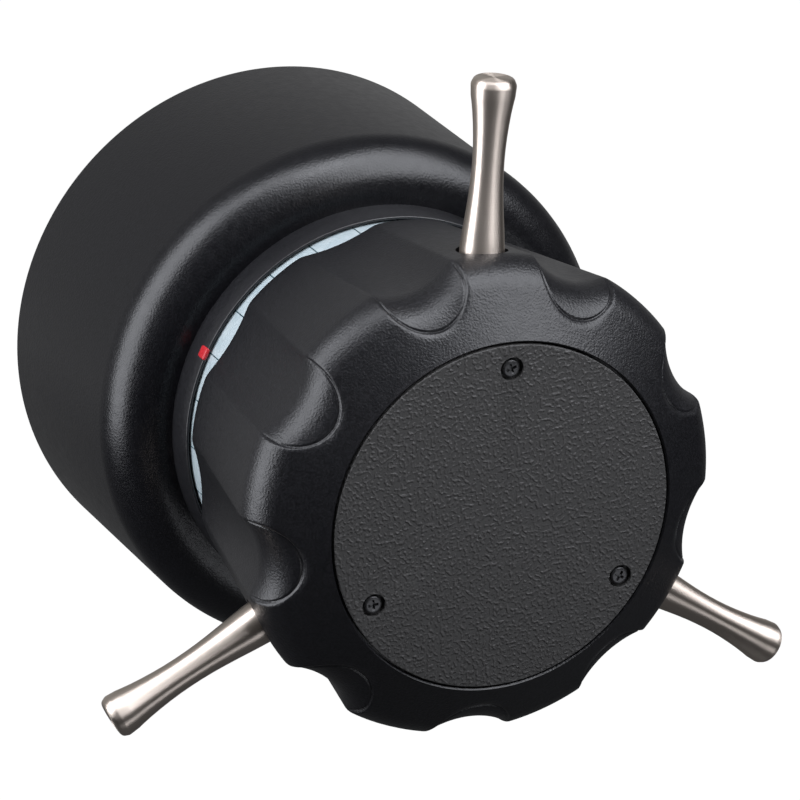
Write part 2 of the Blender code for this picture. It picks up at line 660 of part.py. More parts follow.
def mouth_half_width(point, normal, rise):
    """Half width of a flute where its round mouth closes it, in plan."""
    centre = FLUTE_END_RADIUS + FLUTE_HALF_WIDTH
    widest = FLUTE_HALF_WIDTH + FLUTE_MARGIN
    if point[1] > KNOB_BACK:
        return widest
    low = 0
    high = widest
    for _ in range(FLUTE_MOUTH_HALVINGS):
        across = (low + high) / 2
        inward = max(0, centre - point[0] - normal[0] * scoop_rise(across, rise))
        allowed = widest if inward == 0 else sqrt(max(0, FLUTE_HALF_WIDTH ** 2 - inward ** 2))
        if across <= allowed:
            low = across
        else:
            high = across
    return low


def flute_cutter():
    """Loft of scooped sections along the side, over the shoulder and into the cone."""
    shape = bmesh.new()
    rings = []
    for point, normal, rise in flute_path():
        half = mouth_half_width(point, normal, rise)
        middle = Vector((0, point[1], point[0]))
        outward = Vector((0, normal[1], normal[0]))
        ring = []
        for step in range(FLUTE_ARC_STEPS + 1):
            across = half * (2 * step / FLUTE_ARC_STEPS - 1)
            spot = middle + outward * scoop_rise(across, rise)
            ring.append(shape.verts.new(spot + Vector((across, 0, 0))))
        for across in (half, -half):
            top = middle + outward * FLUTE_CLEAR_HEIGHT
            ring.append(shape.verts.new(top + Vector((across, 0, 0))))
        rings.append(ring)
    for near, far in zip(rings, rings[1:]):
        for i in range(len(near)):
            shape.faces.new((near[i - 1], near[i], far[i], far[i - 1]))
    shape.faces.new(rings[0])
    shape.faces.new(rings[-1])
    bmesh.ops.triangulate(shape, faces=shape.faces)
    return shape


def handle_place(angle):
    """Frame whose +Y runs out along a handle."""
    turned = Matrix.Rotation(angle, 4, "Y") @ Matrix.Rotation(pi / 2, 4, "X")
    return Matrix.Translation((0, HANDLE_Y, 0)) @ turned


def make_knob_grip(look, parent):
    """Shell with nine lobes, a recess for the face disc, a web and three handle sockets."""
    lip = FACE_RADIUS + SEAT_GAP / 2
    corner = grip_corner(0, 0)
    back = Vector((GRIP_BACK_RADIUS, KNOB_BACK))
    groove_rise = (lip + FACE_CHAMFER - FACE_RADIUS) * tan(GRIP_CONE_ANGLE)
    groove = Vector((lip + FACE_CHAMFER, KNOB_FACE + groove_rise))
    shoulder = rounded_corner(back, corner, groove, GRIP_SHOULDER, GRIP_SHOULDER_STEPS)
    seat_front = KNOB_BACK - GRIP_SEAT_DEPTH
    cavity_front = WEB_BACK + GRIP_SHOULDER
    outline = [back] + shoulder + [groove, (lip, groove[1] + FACE_CHAMFER), (lip, WEB_FRONT)]
    outline += [(WEB_BORE_RADIUS, WEB_FRONT), (WEB_BORE_RADIUS, WEB_BACK)]
    outline += [(GRIP_CAVITY_RADIUS - GRIP_SHOULDER, WEB_BACK), (GRIP_CAVITY_RADIUS, cavity_front)]
    outline += [(GRIP_SEAT_RADIUS, seat_front), (GRIP_SEAT_RADIUS, KNOB_BACK)]
    grip = make_object("knob_grip", lathe(outline, KNOB_STEPS), look, parent)
    half_pitch = TURN / LOBE_COUNT / 2
    turns = [Matrix.Rotation(angle, 4, "Y") for angle in round_angles(LOBE_COUNT, half_pitch)]
    cut(grip, repeat(flute_cutter(), turns), "flutes")
    stud_hole = HANDLE_STUD_RADIUS + SEAT_GAP
    inner_end = HANDLE_STUD_END - 2 * CUT_OVERRUN
    outer_end = GRIP_RADIUS + CUT_OVERRUN
    socket = [(0, inner_end), (stud_hole, inner_end), (stud_hole, HANDLE_SOCKET_FLOOR)]
    socket += [(HANDLE_SOCKET_RADIUS, HANDLE_SOCKET_FLOOR), (HANDLE_SOCKET_RADIUS, outer_end), (0, outer_end)]
    places = [handle_place(angle) for angle in round_angles(HANDLE_COUNT, 0)]
    cut(grip, repeat(lathe(socket, SMALL_STEPS), places), "handle_sockets")
    spots = face_screw_places(WEB_FRONT)
    depth = FACE_SCREW_LENGTH - face_seat_thickness()
    cut(grip, plain_holes(FACE_SCREW_RADIUS + SEAT_GAP, depth, spots), "face_screw_holes")
    seats = sunk_hole(SCREW_RADIUS + SEAT_GAP, SCREW_HEAD_RADIUS + SEAT_GAP,
                      SCREW_HEAD_HEIGHT + SEAT_GAP, WEB_THICKNESS + CUT_OVERRUN)
    cut(grip, repeat(seats, hub_screw_places(hub_screw_seat())), "hub_screw_seats")
    return grip


# Face disc
def face_seat_thickness():
    """Disc left under a face screw's head, with the gap below it."""
    return FACE_THICKNESS - FACE_SCREW_HEAD_HEIGHT - FACE_SCREW_SINK


def face_screw_places(y):
    return at_circle(FACE_SCREW_CIRCLE, round_angles(FACE_SCREW_COUNT, FACE_SCREW_TURN), y)


def make_face_disc(look, screw_look, parent):
    """Flat disc sunk in the knob's front, held by three sunk screws."""
    radius = FACE_RADIUS - SEAT_GAP / 2
    outline = [(0, KNOB_FACE), (radius - FACE_CHAMFER, KNOB_FACE), (radius, KNOB_FACE + FACE_CHAMFER)]
    outline += [(radius, FACE_BACK), (0, FACE_BACK)]
    disc = make_object("face_disc", lathe(outline, ROUND_STEPS), look, parent)
    head_seat = KNOB_FACE + FACE_SCREW_SINK + FACE_SCREW_HEAD_HEIGHT
    holes = sunk_hole(FACE_SCREW_RADIUS + SEAT_GAP, FACE_SINK_RADIUS, FACE_SCREW_HEAD_HEIGHT,
                      FACE_THICKNESS + CUT_OVERRUN)
    cut(disc, repeat(holes, face_screw_places(head_seat + SEAT_GAP)), "face_screw_seats")
    outline = screw_outline(FACE_SCREW_RADIUS, FACE_SCREW_HEAD_RADIUS, FACE_SCREW_HEAD_HEIGHT,
                            FACE_SCREW_LENGTH - SEAT_GAP, FACE_SCREW_CROWN)
    add_screws("face_screw", outline, face_screw_places(head_seat), screw_look, parent)
    return disc


# Handles
def handle_outline():
    """Turned outline along the handle: stud, foot, hollow waist, band and rounded end."""
    foot = HANDLE_SOCKET_FLOOR + SEAT_GAP
    band_back = HANDLE_END_RADIUS - HANDLE_EDGE - HANDLE_BAND
    outline = [(0, HANDLE_STUD_END), (HANDLE_STUD_RADIUS, HANDLE_STUD_END), (HANDLE_STUD_RADIUS, foot)]
    outline += [(HANDLE_BASE_RADIUS, foot)]
    for step in range(HANDLE_CURVE_STEPS):
        share = 1 - step / HANDLE_CURVE_STEPS
        radius = HANDLE_WAIST_RADIUS + (HANDLE_BASE_RADIUS - HANDLE_WAIST_RADIUS) * share ** 2
        outline.append((radius, HANDLE_WAIST_AT + (HANDLE_BASE_AT - HANDLE_WAIST_AT) * share))
    for step in range(HANDLE_CURVE_STEPS + 1):
        share = step / HANDLE_CURVE_STEPS
        radius = HANDLE_WAIST_RADIUS + (HANDLE_TIP_RADIUS - HANDLE_WAIST_RADIUS) * share ** 2
        outline.append((radius, HANDLE_WAIST_AT + (band_back - HANDLE_WAIST_AT) * share))
    band_front = HANDLE_END_RADIUS - HANDLE_EDGE
    centre = Vector((HANDLE_TIP_RADIUS - HANDLE_EDGE, band_front))
    edge_start = Vector((HANDLE_TIP_RADIUS, band_front))
    outline += arc(centre, edge_start, centre + Vector((0, HANDLE_EDGE)), CORNER_STEPS)
    return outline + [(0, HANDLE_END_RADIUS)]


def make_handles(look, parent):
    shape = lathe(handle_outline(), SMALL_STEPS)
    mesh = bpy.data.meshes.new("handle")
    bmesh.ops.recalc_face_normals(shape, faces=shape.faces)
    shape.to_mesh(mesh)
    shape.free()
    mesh.shade_smooth()
    mesh.set_sharp_from_angle(angle=SHARP_ANGLE)
    for number, angle in enumerate(round_angles(HANDLE_COUNT, 0), 1):
        place_mesh(f"handle_{number}", mesh, look, parent, handle_place(angle))


# Scale ring
def make_scale_ring(look, strip_look, parent):
    """Skirt seated in the back of the grip, with the pale scale strip round it."""
    front = KNOB_BACK - GRIP_SEAT_DEPTH + SEAT_GAP
    step = KNOB_BACK + SEAT_GAP
    back = DRUM_FACE - SEAT_GAP - RING_FLANGE_THICKNESS - SCALE_BACK_GAP
    seat = GRIP_SEAT_RADIUS - SEAT_GAP
    groove = SCALE_RADIUS - SEAT_GAP
    strip_front = step + SEAT_GAP
    strip_back = strip_front + SCALE_STRIP_WIDTH
    outline = [(seat, front), (seat, step), (groove, step), (groove, back)]
    outline += [(SCALE_BORE_RADIUS, back), (SCALE_BORE_RADIUS, front)]
    make_object("scale_ring", lathe(outline, ROUND_STEPS), look, parent)
    outer = SCALE_RADIUS + SCALE_STRIP_THICKNESS
    outline = [(SCALE_RADIUS, strip_front), (outer, strip_front)]
    outline += [(outer, strip_back), (SCALE_RADIUS, strip_back)]
    make_object("scale_strip", lathe(outline, ROUND_STEPS), strip_look, parent)


# Hub and spindle
def hub_screw_seat():
    """Plane of the hub screws' heads on the web."""
    return WEB_FRONT + SCREW_HEAD_HEIGHT + SEAT_GAP


def hub_screw_places(y):
    return at_circle(HUB_SCREW_CIRCLE, round_angles(HUB_SCREW_COUNT, HUB_SCREW_START), y)


def make_hub(look, screw_look, parent):
    """Flanged sleeve behind the web, which ties the grip to the spindle."""
    bore = SPINDLE_THREAD_RADIUS + SEAT_GAP
    outline = [(bore, HUB_FRONT), (HUB_RADIUS, HUB_FRONT), (HUB_RADIUS, HUB_FRONT + HUB_FLANGE)]
    outline += [(HUB_SLEEVE_RADIUS, HUB_FRONT + HUB_FLANGE), (HUB_SLEEVE_RADIUS, HUB_BACK), (bore, HUB_BACK)]
    hub = make_object("hub", lathe(outline, MEDIUM_STEPS), look, parent)
    holes = plain_holes(SCREW_RADIUS + SEAT_GAP, HUB_FLANGE + CUT_OVERRUN, hub_screw_places(HUB_FRONT))
    cut(hub, holes, "hub_screw_holes")
    outline = screw_outline(SCREW_RADIUS, SCREW_HEAD_RADIUS, SCREW_HEAD_HEIGHT, HUB_SCREW_LENGTH)
    add_screws("hub_screw", outline, hub_screw_places(hub_screw_seat() - SEAT_GAP), screw_look, parent)


def make_spindle(look, nut_look, parent):
    """Stepped spindle with a nut and washer at the hub and a nut behind the gear."""
    nose = HUB_FRONT - NUT_REACH - SEAT_GAP
    tail = GEAR_BACK + NUT_REACH + SPINDLE_TAIL
    outline = [(0, nose), (SPINDLE_THREAD_RADIUS, nose), (SPINDLE_THREAD_RADIUS, COLLAR_FRONT)]
    outline += [(SPINDLE_COLLAR_RADIUS, COLLAR_FRONT), (SPINDLE_COLLAR_RADIUS, COLLAR_BACK)]
    outline += [(SPINDLE_RADIUS, COLLAR_BACK), (SPINDLE_RADIUS, GEAR_FRONT - SEAT_GAP)]
    outline += [(SPINDLE_THREAD_RADIUS, GEAR_FRONT - SEAT_GAP), (SPINDLE_THREAD_RADIUS, tail), (0, tail)]
    make_object("spindle", lathe(outline, MEDIUM_STEPS), look, parent)
    bore = SPINDLE_THREAD_RADIUS + SEAT_GAP
    back = HUB_FRONT - SEAT_GAP
    front = back - WASHER_THICKNESS
    outline = [(bore, front), (WASHER_RADIUS, front), (WASHER_RADIUS, back), (bore, back)]
    make_object("spindle_washer", lathe(outline, MEDIUM_STEPS), nut_look, parent)
    add_nut("spindle_nut", front - SEAT_GAP - NUT_HEIGHT, nut_look, parent)
    add_nut("gear_nut", GEAR_BACK + SEAT_GAP, nut_look, parent)


def add_nut(name, front, look, parent):
    """Hexagon nut with a plain bore."""
    corners = [clock(NUT_RADIUS, 0, angle) for angle in round_angles(NUT_SIDES, 0)]
    nut = make_object(name, prism([(c[0], c[2]) for c in corners], front, front + NUT_HEIGHT), look, parent)
    bore = rod(SPINDLE_THREAD_RADIUS + SEAT_GAP, front - CUT_OVERRUN, front + NUT_HEIGHT + CUT_OVERRUN,
               MEDIUM_STEPS)
    cut(nut, bore, name + "_bore")


# Bearings
def make_bearings(look, parent):
    """Inner races ride on the spindle and outer races sit in the tube."""
    for name, front in (("front_bearing", FRONT_BEARING), ("rear_bearing", REAR_BEARING)):
        back = front + BEARING_WIDTH
        inner = (SPINDLE_RADIUS + SEAT_GAP, BEARING_SPLIT_RADIUS - SEAT_GAP)
        outer = (BEARING_SPLIT_RADIUS + SEAT_GAP, BEARING_OUTER_RADIUS)
        for part, radii, owner in (("inner", inner, parent), ("outer", outer, None)):
            outline = [(radii[0], front), (radii[1], front), (radii[1], back), (radii[0], back)]
            make_object(f"{name}_{part}", lathe(outline, MEDIUM_STEPS), look, owner)


def make_bearing_tube(look):
    """Tube with a bearing seat at each end, a mounting flange and a rear flange."""
    seat = BEARING_OUTER_RADIUS + SEAT_GAP
    front_floor = FRONT_BEARING + BEARING_WIDTH + SEAT_GAP
    rear_floor = REAR_BEARING - SEAT_GAP
    rear_flange = TUBE_BACK - TUBE_REAR_FLANGE_THICKNESS
    outline = [(seat, FRONT_BEARING), (TUBE_RADIUS, FRONT_BEARING), (TUBE_RADIUS, TUBE_FLANGE_FRONT)]
    outline += [(TUBE_FLANGE_RADIUS, TUBE_FLANGE_FRONT), (TUBE_FLANGE_RADIUS, TUBE_FLANGE_BACK)]
    outline += [(TUBE_RADIUS, TUBE_FLANGE_BACK), (TUBE_RADIUS, rear_flange)]
    outline += [(TUBE_REAR_FLANGE_RADIUS, rear_flange), (TUBE_REAR_FLANGE_RADIUS, TUBE_BACK)]
    outline += [(seat, TUBE_BACK), (seat, rear_floor), (TUBE_WALL_BORE, rear_floor)]
    outline += [(TUBE_WALL_BORE, front_floor), (seat, front_floor)]
    tube = make_object("bearing_tube", lathe(outline, MEDIUM_STEPS), look)
    taps = plain_holes(SCREW_RADIUS + SEAT_GAP, TUBE_FLANGE_THICKNESS + CUT_OVERRUN,
                       tube_screw_places(TUBE_FLANGE_FRONT))
    cut(tube, taps, "tube_flange_holes")
    flip = Matrix.Rotation(pi, 4, "X")
    spots = [spot @ flip for spot in at_circle(BRACKET_SCREW_CIRCLE, BRACKET_SCREW_ANGLES, TUBE_BACK)]
    depth = BRACKET_SCREW_LENGTH - BRACKET_THICKNESS + SEAT_GAP
    cut(tube, plain_holes(BRACKET_SCREW_RADIUS + SEAT_GAP, depth, spots), "bracket_taps")
    notch_front = ENCODER_BODY_BACK - ENCODER_LENGTH - SEAT_GAP
    notch = rod(ENCODER_RADIUS + SEAT_GAP, notch_front, TUBE_BACK + CUT_OVERRUN)
    cut(tube, repeat(notch, at_circle(GEAR_CENTRES, [ENCODER_ANGLE])), "encoder_notch")


# Gears
def involute(base, angle):
    """Point of an involute as its radius and its turn from the start."""
    return base / cos(angle), tan(angle) - angle


def gear_outline(teeth):
    """Toothed outline as (x, z) points, one tooth centred on up."""
    pitch = GEAR_MODULE * teeth / 2
    base = pitch * cos(GEAR_PRESSURE_ANGLE)
    tip = pitch + GEAR_MODULE * GEAR_TOP_SHARE
    root = pitch - GEAR_MODULE * GEAR_ROOT_SHARE
    half_tooth = pi / 2 / teeth - GEAR_BACKLASH / pitch
    start = max(base, root)
    pitch_turn = tan(GEAR_PRESSURE_ANGLE) - GEAR_PRESSURE_ANGLE
    tip_angle = sqrt((tip / base) ** 2 - 1)
    start_angle = sqrt((start / base) ** 2 - 1)
    flank = [(root, half_tooth + pitch_turn)] if root < base else []
    for step in range(GEAR_FLANK_STEPS + 1):
        roll = start_angle + (tip_angle - start_angle) * step / GEAR_FLANK_STEPS
        radius = base * sqrt(1 + roll ** 2)
        turn = roll - atan_of(roll)
        flank.append((radius, half_tooth + pitch_turn - turn))
    points = []
    for tooth in range(teeth):
        middle = TURN * tooth / teeth
        points += [(radius, middle - turn) for radius, turn in flank]
        points += [(radius, middle + turn) for radius, turn in reversed(flank)]
    return [(radius * sin(turn), radius * cos(turn)) for radius, turn in points]


def atan_of(value):
    return asin(value / sqrt(1 + value ** 2))


def make_drive_gear(look, parent):
    """Spur gear on the spindle, with the stop lug on its rim."""
    shape = prism(gear_outline(GEAR_TEETH), GEAR_FRONT, GEAR_BACK)
    gear = make_object("drive_gear", shape, look, parent)
    bore = rod(SPINDLE_THREAD_RADIUS + SEAT_GAP, GEAR_FRONT - CUT_OVERRUN, GEAR_BACK + CUT_OVERRUN,
               MEDIUM_STEPS)
    cut(gear, bore, "gear_bore")
    inner = GEAR_MODULE * GEAR_TEETH / 2 - GEAR_MODULE * GEAR_ROOT_SHARE * 2
    corners = [(inner, -1), (STOP_LUG_RADIUS, -1), (STOP_LUG_RADIUS, 1), (inner, 1)]
    turned = [(radius, STOP_LUG_ANGLE + side * STOP_LUG_HALF_ANGLE) for radius, side in corners]
    lug = prism([(radius * sin(turn), radius * cos(turn)) for radius, turn in turned],
                GEAR_FRONT + SEAT_GAP, GEAR_BACK - SEAT_GAP)
    join(gear, lug, "stop_lug")


def stop_pin_angles():
    """Where the pins meet the lug a little past each end of the knob's travel."""
    reach = KNOB_HALF_TURN + STOP_LUG_HALF_ANGLE + asin(STOP_PIN_RADIUS / STOP_PIN_CIRCLE) + STOP_MARGIN
    return [STOP_LUG_ANGLE + KNOB_REST_TURN + side * reach for side in (-1, 1)]


def make_encoder(bracket_look, body_look, steel_look, brass_look, parent):
    """Bracket on the tube's rear flange, encoder body in front of it, stop pins behind it."""
    shape = rod(TUBE_REAR_FLANGE_RADIUS, BRACKET_FRONT, BRACKET_BACK, MEDIUM_STEPS)
    bracket = make_object("encoder_bracket", shape, bracket_look)
    place = at_circle(GEAR_CENTRES, [ENCODER_ANGLE])
    pin_reach = STOP_PIN_CIRCLE + 2 * STOP_PIN_RADIUS
    pads = [Matrix.Rotation(angle, 4, "Y") for angle in stop_pin_angles()]
    half = 2 * STOP_PIN_RADIUS
    corners = [(-half, BRACKET_BORE_RADIUS), (half, BRACKET_BORE_RADIUS)]
    corners += [(half, pin_reach), (-half, pin_reach)]
    strap = prism(corners, BRACKET_FRONT, BRACKET_BACK)
    join(bracket, repeat(strap, pads), "pin_straps")
    arm = rod(BRACKET_ARM_RADIUS, BRACKET_FRONT, BRACKET_BACK)
    join(bracket, repeat(arm, place), "encoder_arm")
    front = BRACKET_FRONT - CUT_OVERRUN
    back = BRACKET_BACK + CUT_OVERRUN
    cut(bracket, rod(BRACKET_BORE_RADIUS, front, back, MEDIUM_STEPS), "bracket_bore")
    cut(bracket, repeat(rod(ENCODER_SHAFT_RADIUS + SEAT_GAP, front, back), place), "shaft_hole")
    spots = at_circle(BRACKET_SCREW_CIRCLE, BRACKET_SCREW_ANGLES)
    holes = rod(BRACKET_SCREW_RADIUS + SEAT_GAP, front, back, FINE_STEPS)
    cut(bracket, repeat(holes, spots), "bracket_screw_holes")
    pin_spots = at_circle(STOP_PIN_CIRCLE, stop_pin_angles())
    holes = rod(STOP_PIN_RADIUS + SEAT_GAP, front, back, FINE_STEPS)
    cut(bracket, repeat(holes, pin_spots), "pin_holes")
    for number, spot in enumerate(pin_spots, 1):
        pin = rod(STOP_PIN_RADIUS, BRACKET_FRONT, BRACKET_BACK + STOP_PIN_REACH, FINE_STEPS)
        make_object(f"stop_pin_{number}", repeat(pin, [spot]), steel_look)
    outline = screw_outline(BRACKET_SCREW_RADIUS, BRACKET_HEAD_RADIUS, BRACKET_HEAD_HEIGHT,
                            BRACKET_SCREW_LENGTH)
    flip = Matrix.Rotation(pi, 4, "X")
    seats = at_circle(BRACKET_SCREW_CIRCLE, BRACKET_SCREW_ANGLES, BRACKET_BACK + SEAT_GAP)
    add_screws("bracket_screw", outline, [seat @ flip for seat in seats], steel_look)
    shape = rod(ENCODER_RADIUS, ENCODER_BODY_BACK - ENCODER_LENGTH, ENCODER_BODY_BACK)
    body = make_object("encoder_body", repeat(shape, place), body_look)
    bore_front = ENCODER_BODY_BACK - ENCODER_BORE_DEPTH
    bore = rod(ENCODER_SHAFT_RADIUS + SEAT_GAP, bore_front, ENCODER_BODY_BACK + CUT_OVERRUN)
    cut(body, repeat(bore, place), "encoder_bore")
    pinion_front = GEAR_FRONT - (PINION_WIDTH - GEAR_WIDTH) / 2
    pinion_back = pinion_front + PINION_WIDTH
    shaft_front = bore_front + SEAT_GAP
    shaft = rod(ENCODER_SHAFT_RADIUS, shaft_front, pinion_back + SEAT_GAP)
    make_object("encoder_shaft", shaft, steel_look, parent)
    shape = prism(gear_outline(PINION_TEETH), pinion_front, pinion_back)
    half_tooth = Matrix.Rotation(pi / PINION_TEETH, 4, "Y")
    mesh_turn = Matrix.Rotation(-KNOB_REST_TURN * GEAR_TEETH / PINION_TEETH, 4, "Y")
    pinion = make_object("encoder_pinion", repeat(shape, [mesh_turn @ half_tooth]), brass_look, parent)
    hole = rod(ENCODER_SHAFT_RADIUS + SEAT_GAP, pinion_front - CUT_OVERRUN, pinion_back + CUT_OVERRUN)
    cut(pinion, hole, "pinion_bore")


# Circuit board
def make_circuit_board(board_look, chip_look, screw_look):
    """Round board with a flat foot, on three standoffs, with a chip and a header."""
    side = sqrt(BOARD_RADIUS ** 2 - BOARD_FLAT ** 2)
    sweep = pi - asin(side / BOARD_RADIUS)
    angles = [-sweep + 2 * sweep * step / (ROUND_STEPS / 2) for step in range(int(ROUND_STEPS / 2) + 1)]
    outline = [(BOARD_RADIUS * sin(angle), BOARD_RADIUS * cos(angle)) for angle in angles]
    board = make_object("circuit_board", prism(outline, BOARD_FRONT, BOARD_BACK), board_look)
    spots = at_circle(STANDOFF_CIRCLE, round_angles(STANDOFF_COUNT, STANDOFF_START), BOARD_FRONT)
    length = BOARD_THICKNESS + CUT_OVERRUN
    cut(board, plain_holes(SCREW_RADIUS + SEAT_GAP, length, spots), "board_holes")
    outline = screw_outline(SCREW_RADIUS, SCREW_HEAD_RADIUS, SCREW_HEAD_HEIGHT, BOARD_SCREW_LENGTH)
    lift = Matrix.Translation((0, -SEAT_GAP, 0))
    add_screws("board_screw", outline, [lift @ spot for spot in spots], screw_look)
    sizes = (("processor_chip", CHIP_SIDE, CHIP_SIDE, CHIP_HEIGHT, CHIP_ACROSS, CHIP_UP),
             ("board_header", HEADER_LENGTH, HEADER_DEPTH, HEADER_HEIGHT, HEADER_ACROSS, HEADER_UP))
    for name, width, depth, height, across, up in sizes:
        corners = [(-1, -1), (1, -1), (1, 1), (-1, 1)]
        outline = [(across + x * width / 2, up + z * depth / 2) for x, z in corners]
        back = BOARD_FRONT - SEAT_GAP
        make_object(name, prism(outline, back - height, back), chip_look)


# Cable connector
def connector_place(y):
    return Matrix.Translation((0, y, -CONNECTOR_DROP))


def connector_screw_places(y):
    flip = Matrix.Rotation(pi, 4, "X")
    spots = [Vector((side * CONNECTOR_SCREW_SPREAD, y, side * CONNECTOR_SCREW_SPREAD - CONNECTOR_DROP))
             for side in (-1, 1)]
    return [Matrix.Translation(spot) @ flip for spot in spots]


def make_connector(shell_look, insert_look, screw_look):
    """Flanged socket in the cover's foot, an insert with its pins, and two screws."""
    front = COVER_BACK + SEAT_GAP
    back = front + CONNECTOR_FLANGE_THICKNESS
    half = CONNECTOR_FLANGE / 2
    corners = [Vector((x * half, z * half)) for x, z in ((-1, -1), (1, -1), (1, 1), (-1, 1))]
    outline = []
    for i, corner in enumerate(corners):
        after = corners[(i + 1) % len(corners)]
        outline += rounded_corner(corners[i - 1], corner, after, CONNECTOR_CORNER, CORNER_STEPS)
    plate = repeat(prism(outline, front, back), [connector_place(0)])
    shell = make_object("connector_shell", plate, shell_look)
    barrel_front = front - CONNECTOR_LENGTH
    barrel = rod(CONNECTOR_RADIUS, barrel_front, back + CONNECTOR_LIP, MEDIUM_STEPS)
    join(shell, repeat(barrel, [connector_place(0)]), "connector_barrel")
    bore = rod(CONNECTOR_BORE_RADIUS, barrel_front - CUT_OVERRUN, back + CONNECTOR_LIP + CUT_OVERRUN,
               MEDIUM_STEPS)
    cut(shell, repeat(bore, [connector_place(0)]), "connector_bore")
    holes = plain_holes(CONNECTOR_SCREW_RADIUS + SEAT_GAP, CONNECTOR_FLANGE_THICKNESS + CUT_OVERRUN,
                        connector_screw_places(back))
    cut(shell, holes, "connector_flange_holes")
    insert_front = barrel_front - INSERT_BACK_REACH
    insert_back = insert_front + INSERT_THICKNESS
    shape = rod(CONNECTOR_BORE_RADIUS - SEAT_GAP, insert_front, insert_back, MEDIUM_STEPS)
    insert = make_object("connector_insert", repeat(shape, [connector_place(0)]), insert_look)
    spots = [connector_place(0)] + [connector_place(0) @ spot
                                    for spot in at_circle(PIN_CIRCLE, round_angles(PIN_COUNT, 0))]
    pin = rod(PIN_RADIUS, insert_front + INSERT_THICKNESS / 2, insert_back + PIN_LENGTH, FINE_STEPS)
    join(insert, repeat(pin, spots), "connector_pins")
    outline = screw_outline(CONNECTOR_SCREW_RADIUS, CONNECTOR_HEAD_RADIUS, CONNECTOR_HEAD_HEIGHT,
                            CONNECTOR_SCREW_LENGTH - SEAT_GAP)
    add_screws("connector_screw", outline, connector_screw_places(back + SEAT_GAP), screw_look)


# Screws of the housing
def make_housing_screws(look):
    outline = screw_outline(SCREW_RADIUS, SCREW_HEAD_RADIUS, SCREW_HEAD_HEIGHT, COVER_SCREW_LENGTH)
    add_screws("cover_screw", outline, cover_screw_places(cover_seat()), look)
    outline = screw_outline(SCREW_RADIUS, SCREW_HEAD_RADIUS, SCREW_HEAD_HEIGHT, TUBE_SCREW_LENGTH)
    add_screws("tube_screw", outline, tube_screw_places(DRUM_FACE - SEAT_GAP), look)
    outline = screw_outline(RING_SCREW_RADIUS, RING_SCREW_HEAD_RADIUS, RING_SCREW_HEAD_HEIGHT,
                            RING_SCREW_LENGTH)
    seat = DRUM_FACE - SEAT_GAP - ring_seat_thickness() - SEAT_GAP
    add_screws("ring_screw", outline, ring_screw_places(seat), look)


def add_axis(name, location, turn):
    """Empty on a joint's axis that carries a moving body."""
    axis = bpy.data.objects.new(name, None)
    axis.location = location
    axis.rotation_euler = (0, turn, 0)
    bpy.context.scene.collection.objects.link(axis)
    return axis


def build():
    clear_scene()
    paint = make_material("crinkle_paint", (0.022, 0.022, 0.026), 0.55, 0)
    grain = make_material("grained_disc", (0.045, 0.045, 0.047), 0.6, 0)
    cover = make_material("cover_paint", (0.03, 0.03, 0.032), 0.6, 0)
    steel = make_material("satin_steel", (0.56, 0.52, 0.47), 0.3, 1)
    black = make_material("black_screws", (0.03, 0.03, 0.03), 0.35, 1)
    pale = make_material("scale_strip", (0.55, 0.62, 0.67), 0.4, 0)
    red = make_material("index_red", (0.65, 0.03, 0.03), 0.35, 0)
    alloy = make_material("machined_alloy", (0.6, 0.6, 0.62), 0.35, 1)
    brass = make_material("brass", (0.7, 0.52, 0.25), 0.35, 1)
    board = make_material("circuit_board", (0.03, 0.18, 0.08), 0.5, 0)
    plastic = make_material("black_plastic", (0.02, 0.02, 0.02), 0.5, 0)
    knob = add_axis("knob_axis", (0, 0, 0), KNOB_REST_TURN)
    encoder = add_axis("encoder_axis", clock(GEAR_CENTRES, 0, ENCODER_ANGLE), 0)
    make_drum_housing(paint)
    make_rear_cover(cover)
    make_index_ring(paint, red)
    make_housing_screws(black)
    make_knob_grip(paint, knob)
    make_face_disc(grain, black, knob)
    make_handles(steel, knob)
    make_scale_ring(plastic, pale, knob)
    make_hub(alloy, black, knob)
    make_spindle(steel, steel, knob)
    make_bearings(steel, knob)
    make_bearing_tube(alloy)
    make_drive_gear(brass, knob)
    make_encoder(alloy, plastic, steel, brass, encoder)
    make_circuit_board(board, plastic, black)
    make_connector(steel, plastic, black)


build()
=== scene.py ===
from math import atan2, cos, hypot, pi, radians, sin, sqrt, tan

import bmesh
import bpy
from mathutils import Matrix, Vector


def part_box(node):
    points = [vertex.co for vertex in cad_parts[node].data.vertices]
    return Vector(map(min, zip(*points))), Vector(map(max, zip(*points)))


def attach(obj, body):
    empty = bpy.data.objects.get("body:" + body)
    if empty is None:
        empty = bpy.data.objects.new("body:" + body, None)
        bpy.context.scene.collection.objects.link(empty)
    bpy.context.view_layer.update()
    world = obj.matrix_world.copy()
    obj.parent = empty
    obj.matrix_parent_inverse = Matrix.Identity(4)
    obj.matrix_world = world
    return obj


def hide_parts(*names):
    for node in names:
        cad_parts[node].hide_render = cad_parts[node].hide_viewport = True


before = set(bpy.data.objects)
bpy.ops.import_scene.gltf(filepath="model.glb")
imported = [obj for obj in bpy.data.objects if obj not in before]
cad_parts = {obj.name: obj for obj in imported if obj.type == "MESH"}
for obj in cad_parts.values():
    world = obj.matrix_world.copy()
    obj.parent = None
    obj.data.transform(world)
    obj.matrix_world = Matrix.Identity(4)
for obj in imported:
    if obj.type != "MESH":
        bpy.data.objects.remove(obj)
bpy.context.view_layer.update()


# Drum housing. A cast aluminium cup, turned to a slight taper with a wide rounded shoulder,
# and painted in a fine black crinkle. The rear cover closes it and the index ring sits on its
# front face.
mm = 0.001
drum_front, drum_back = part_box("drum_housing")[0].y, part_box("drum_housing")[1].y
drum_rear_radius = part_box("drum_housing")[1].x
drum_front_radius = drum_rear_radius - 1.2 * mm
drum_mouth_radius = 27.5 * mm
drum_wall = 3 * mm
drum_shoulder = 10 * mm
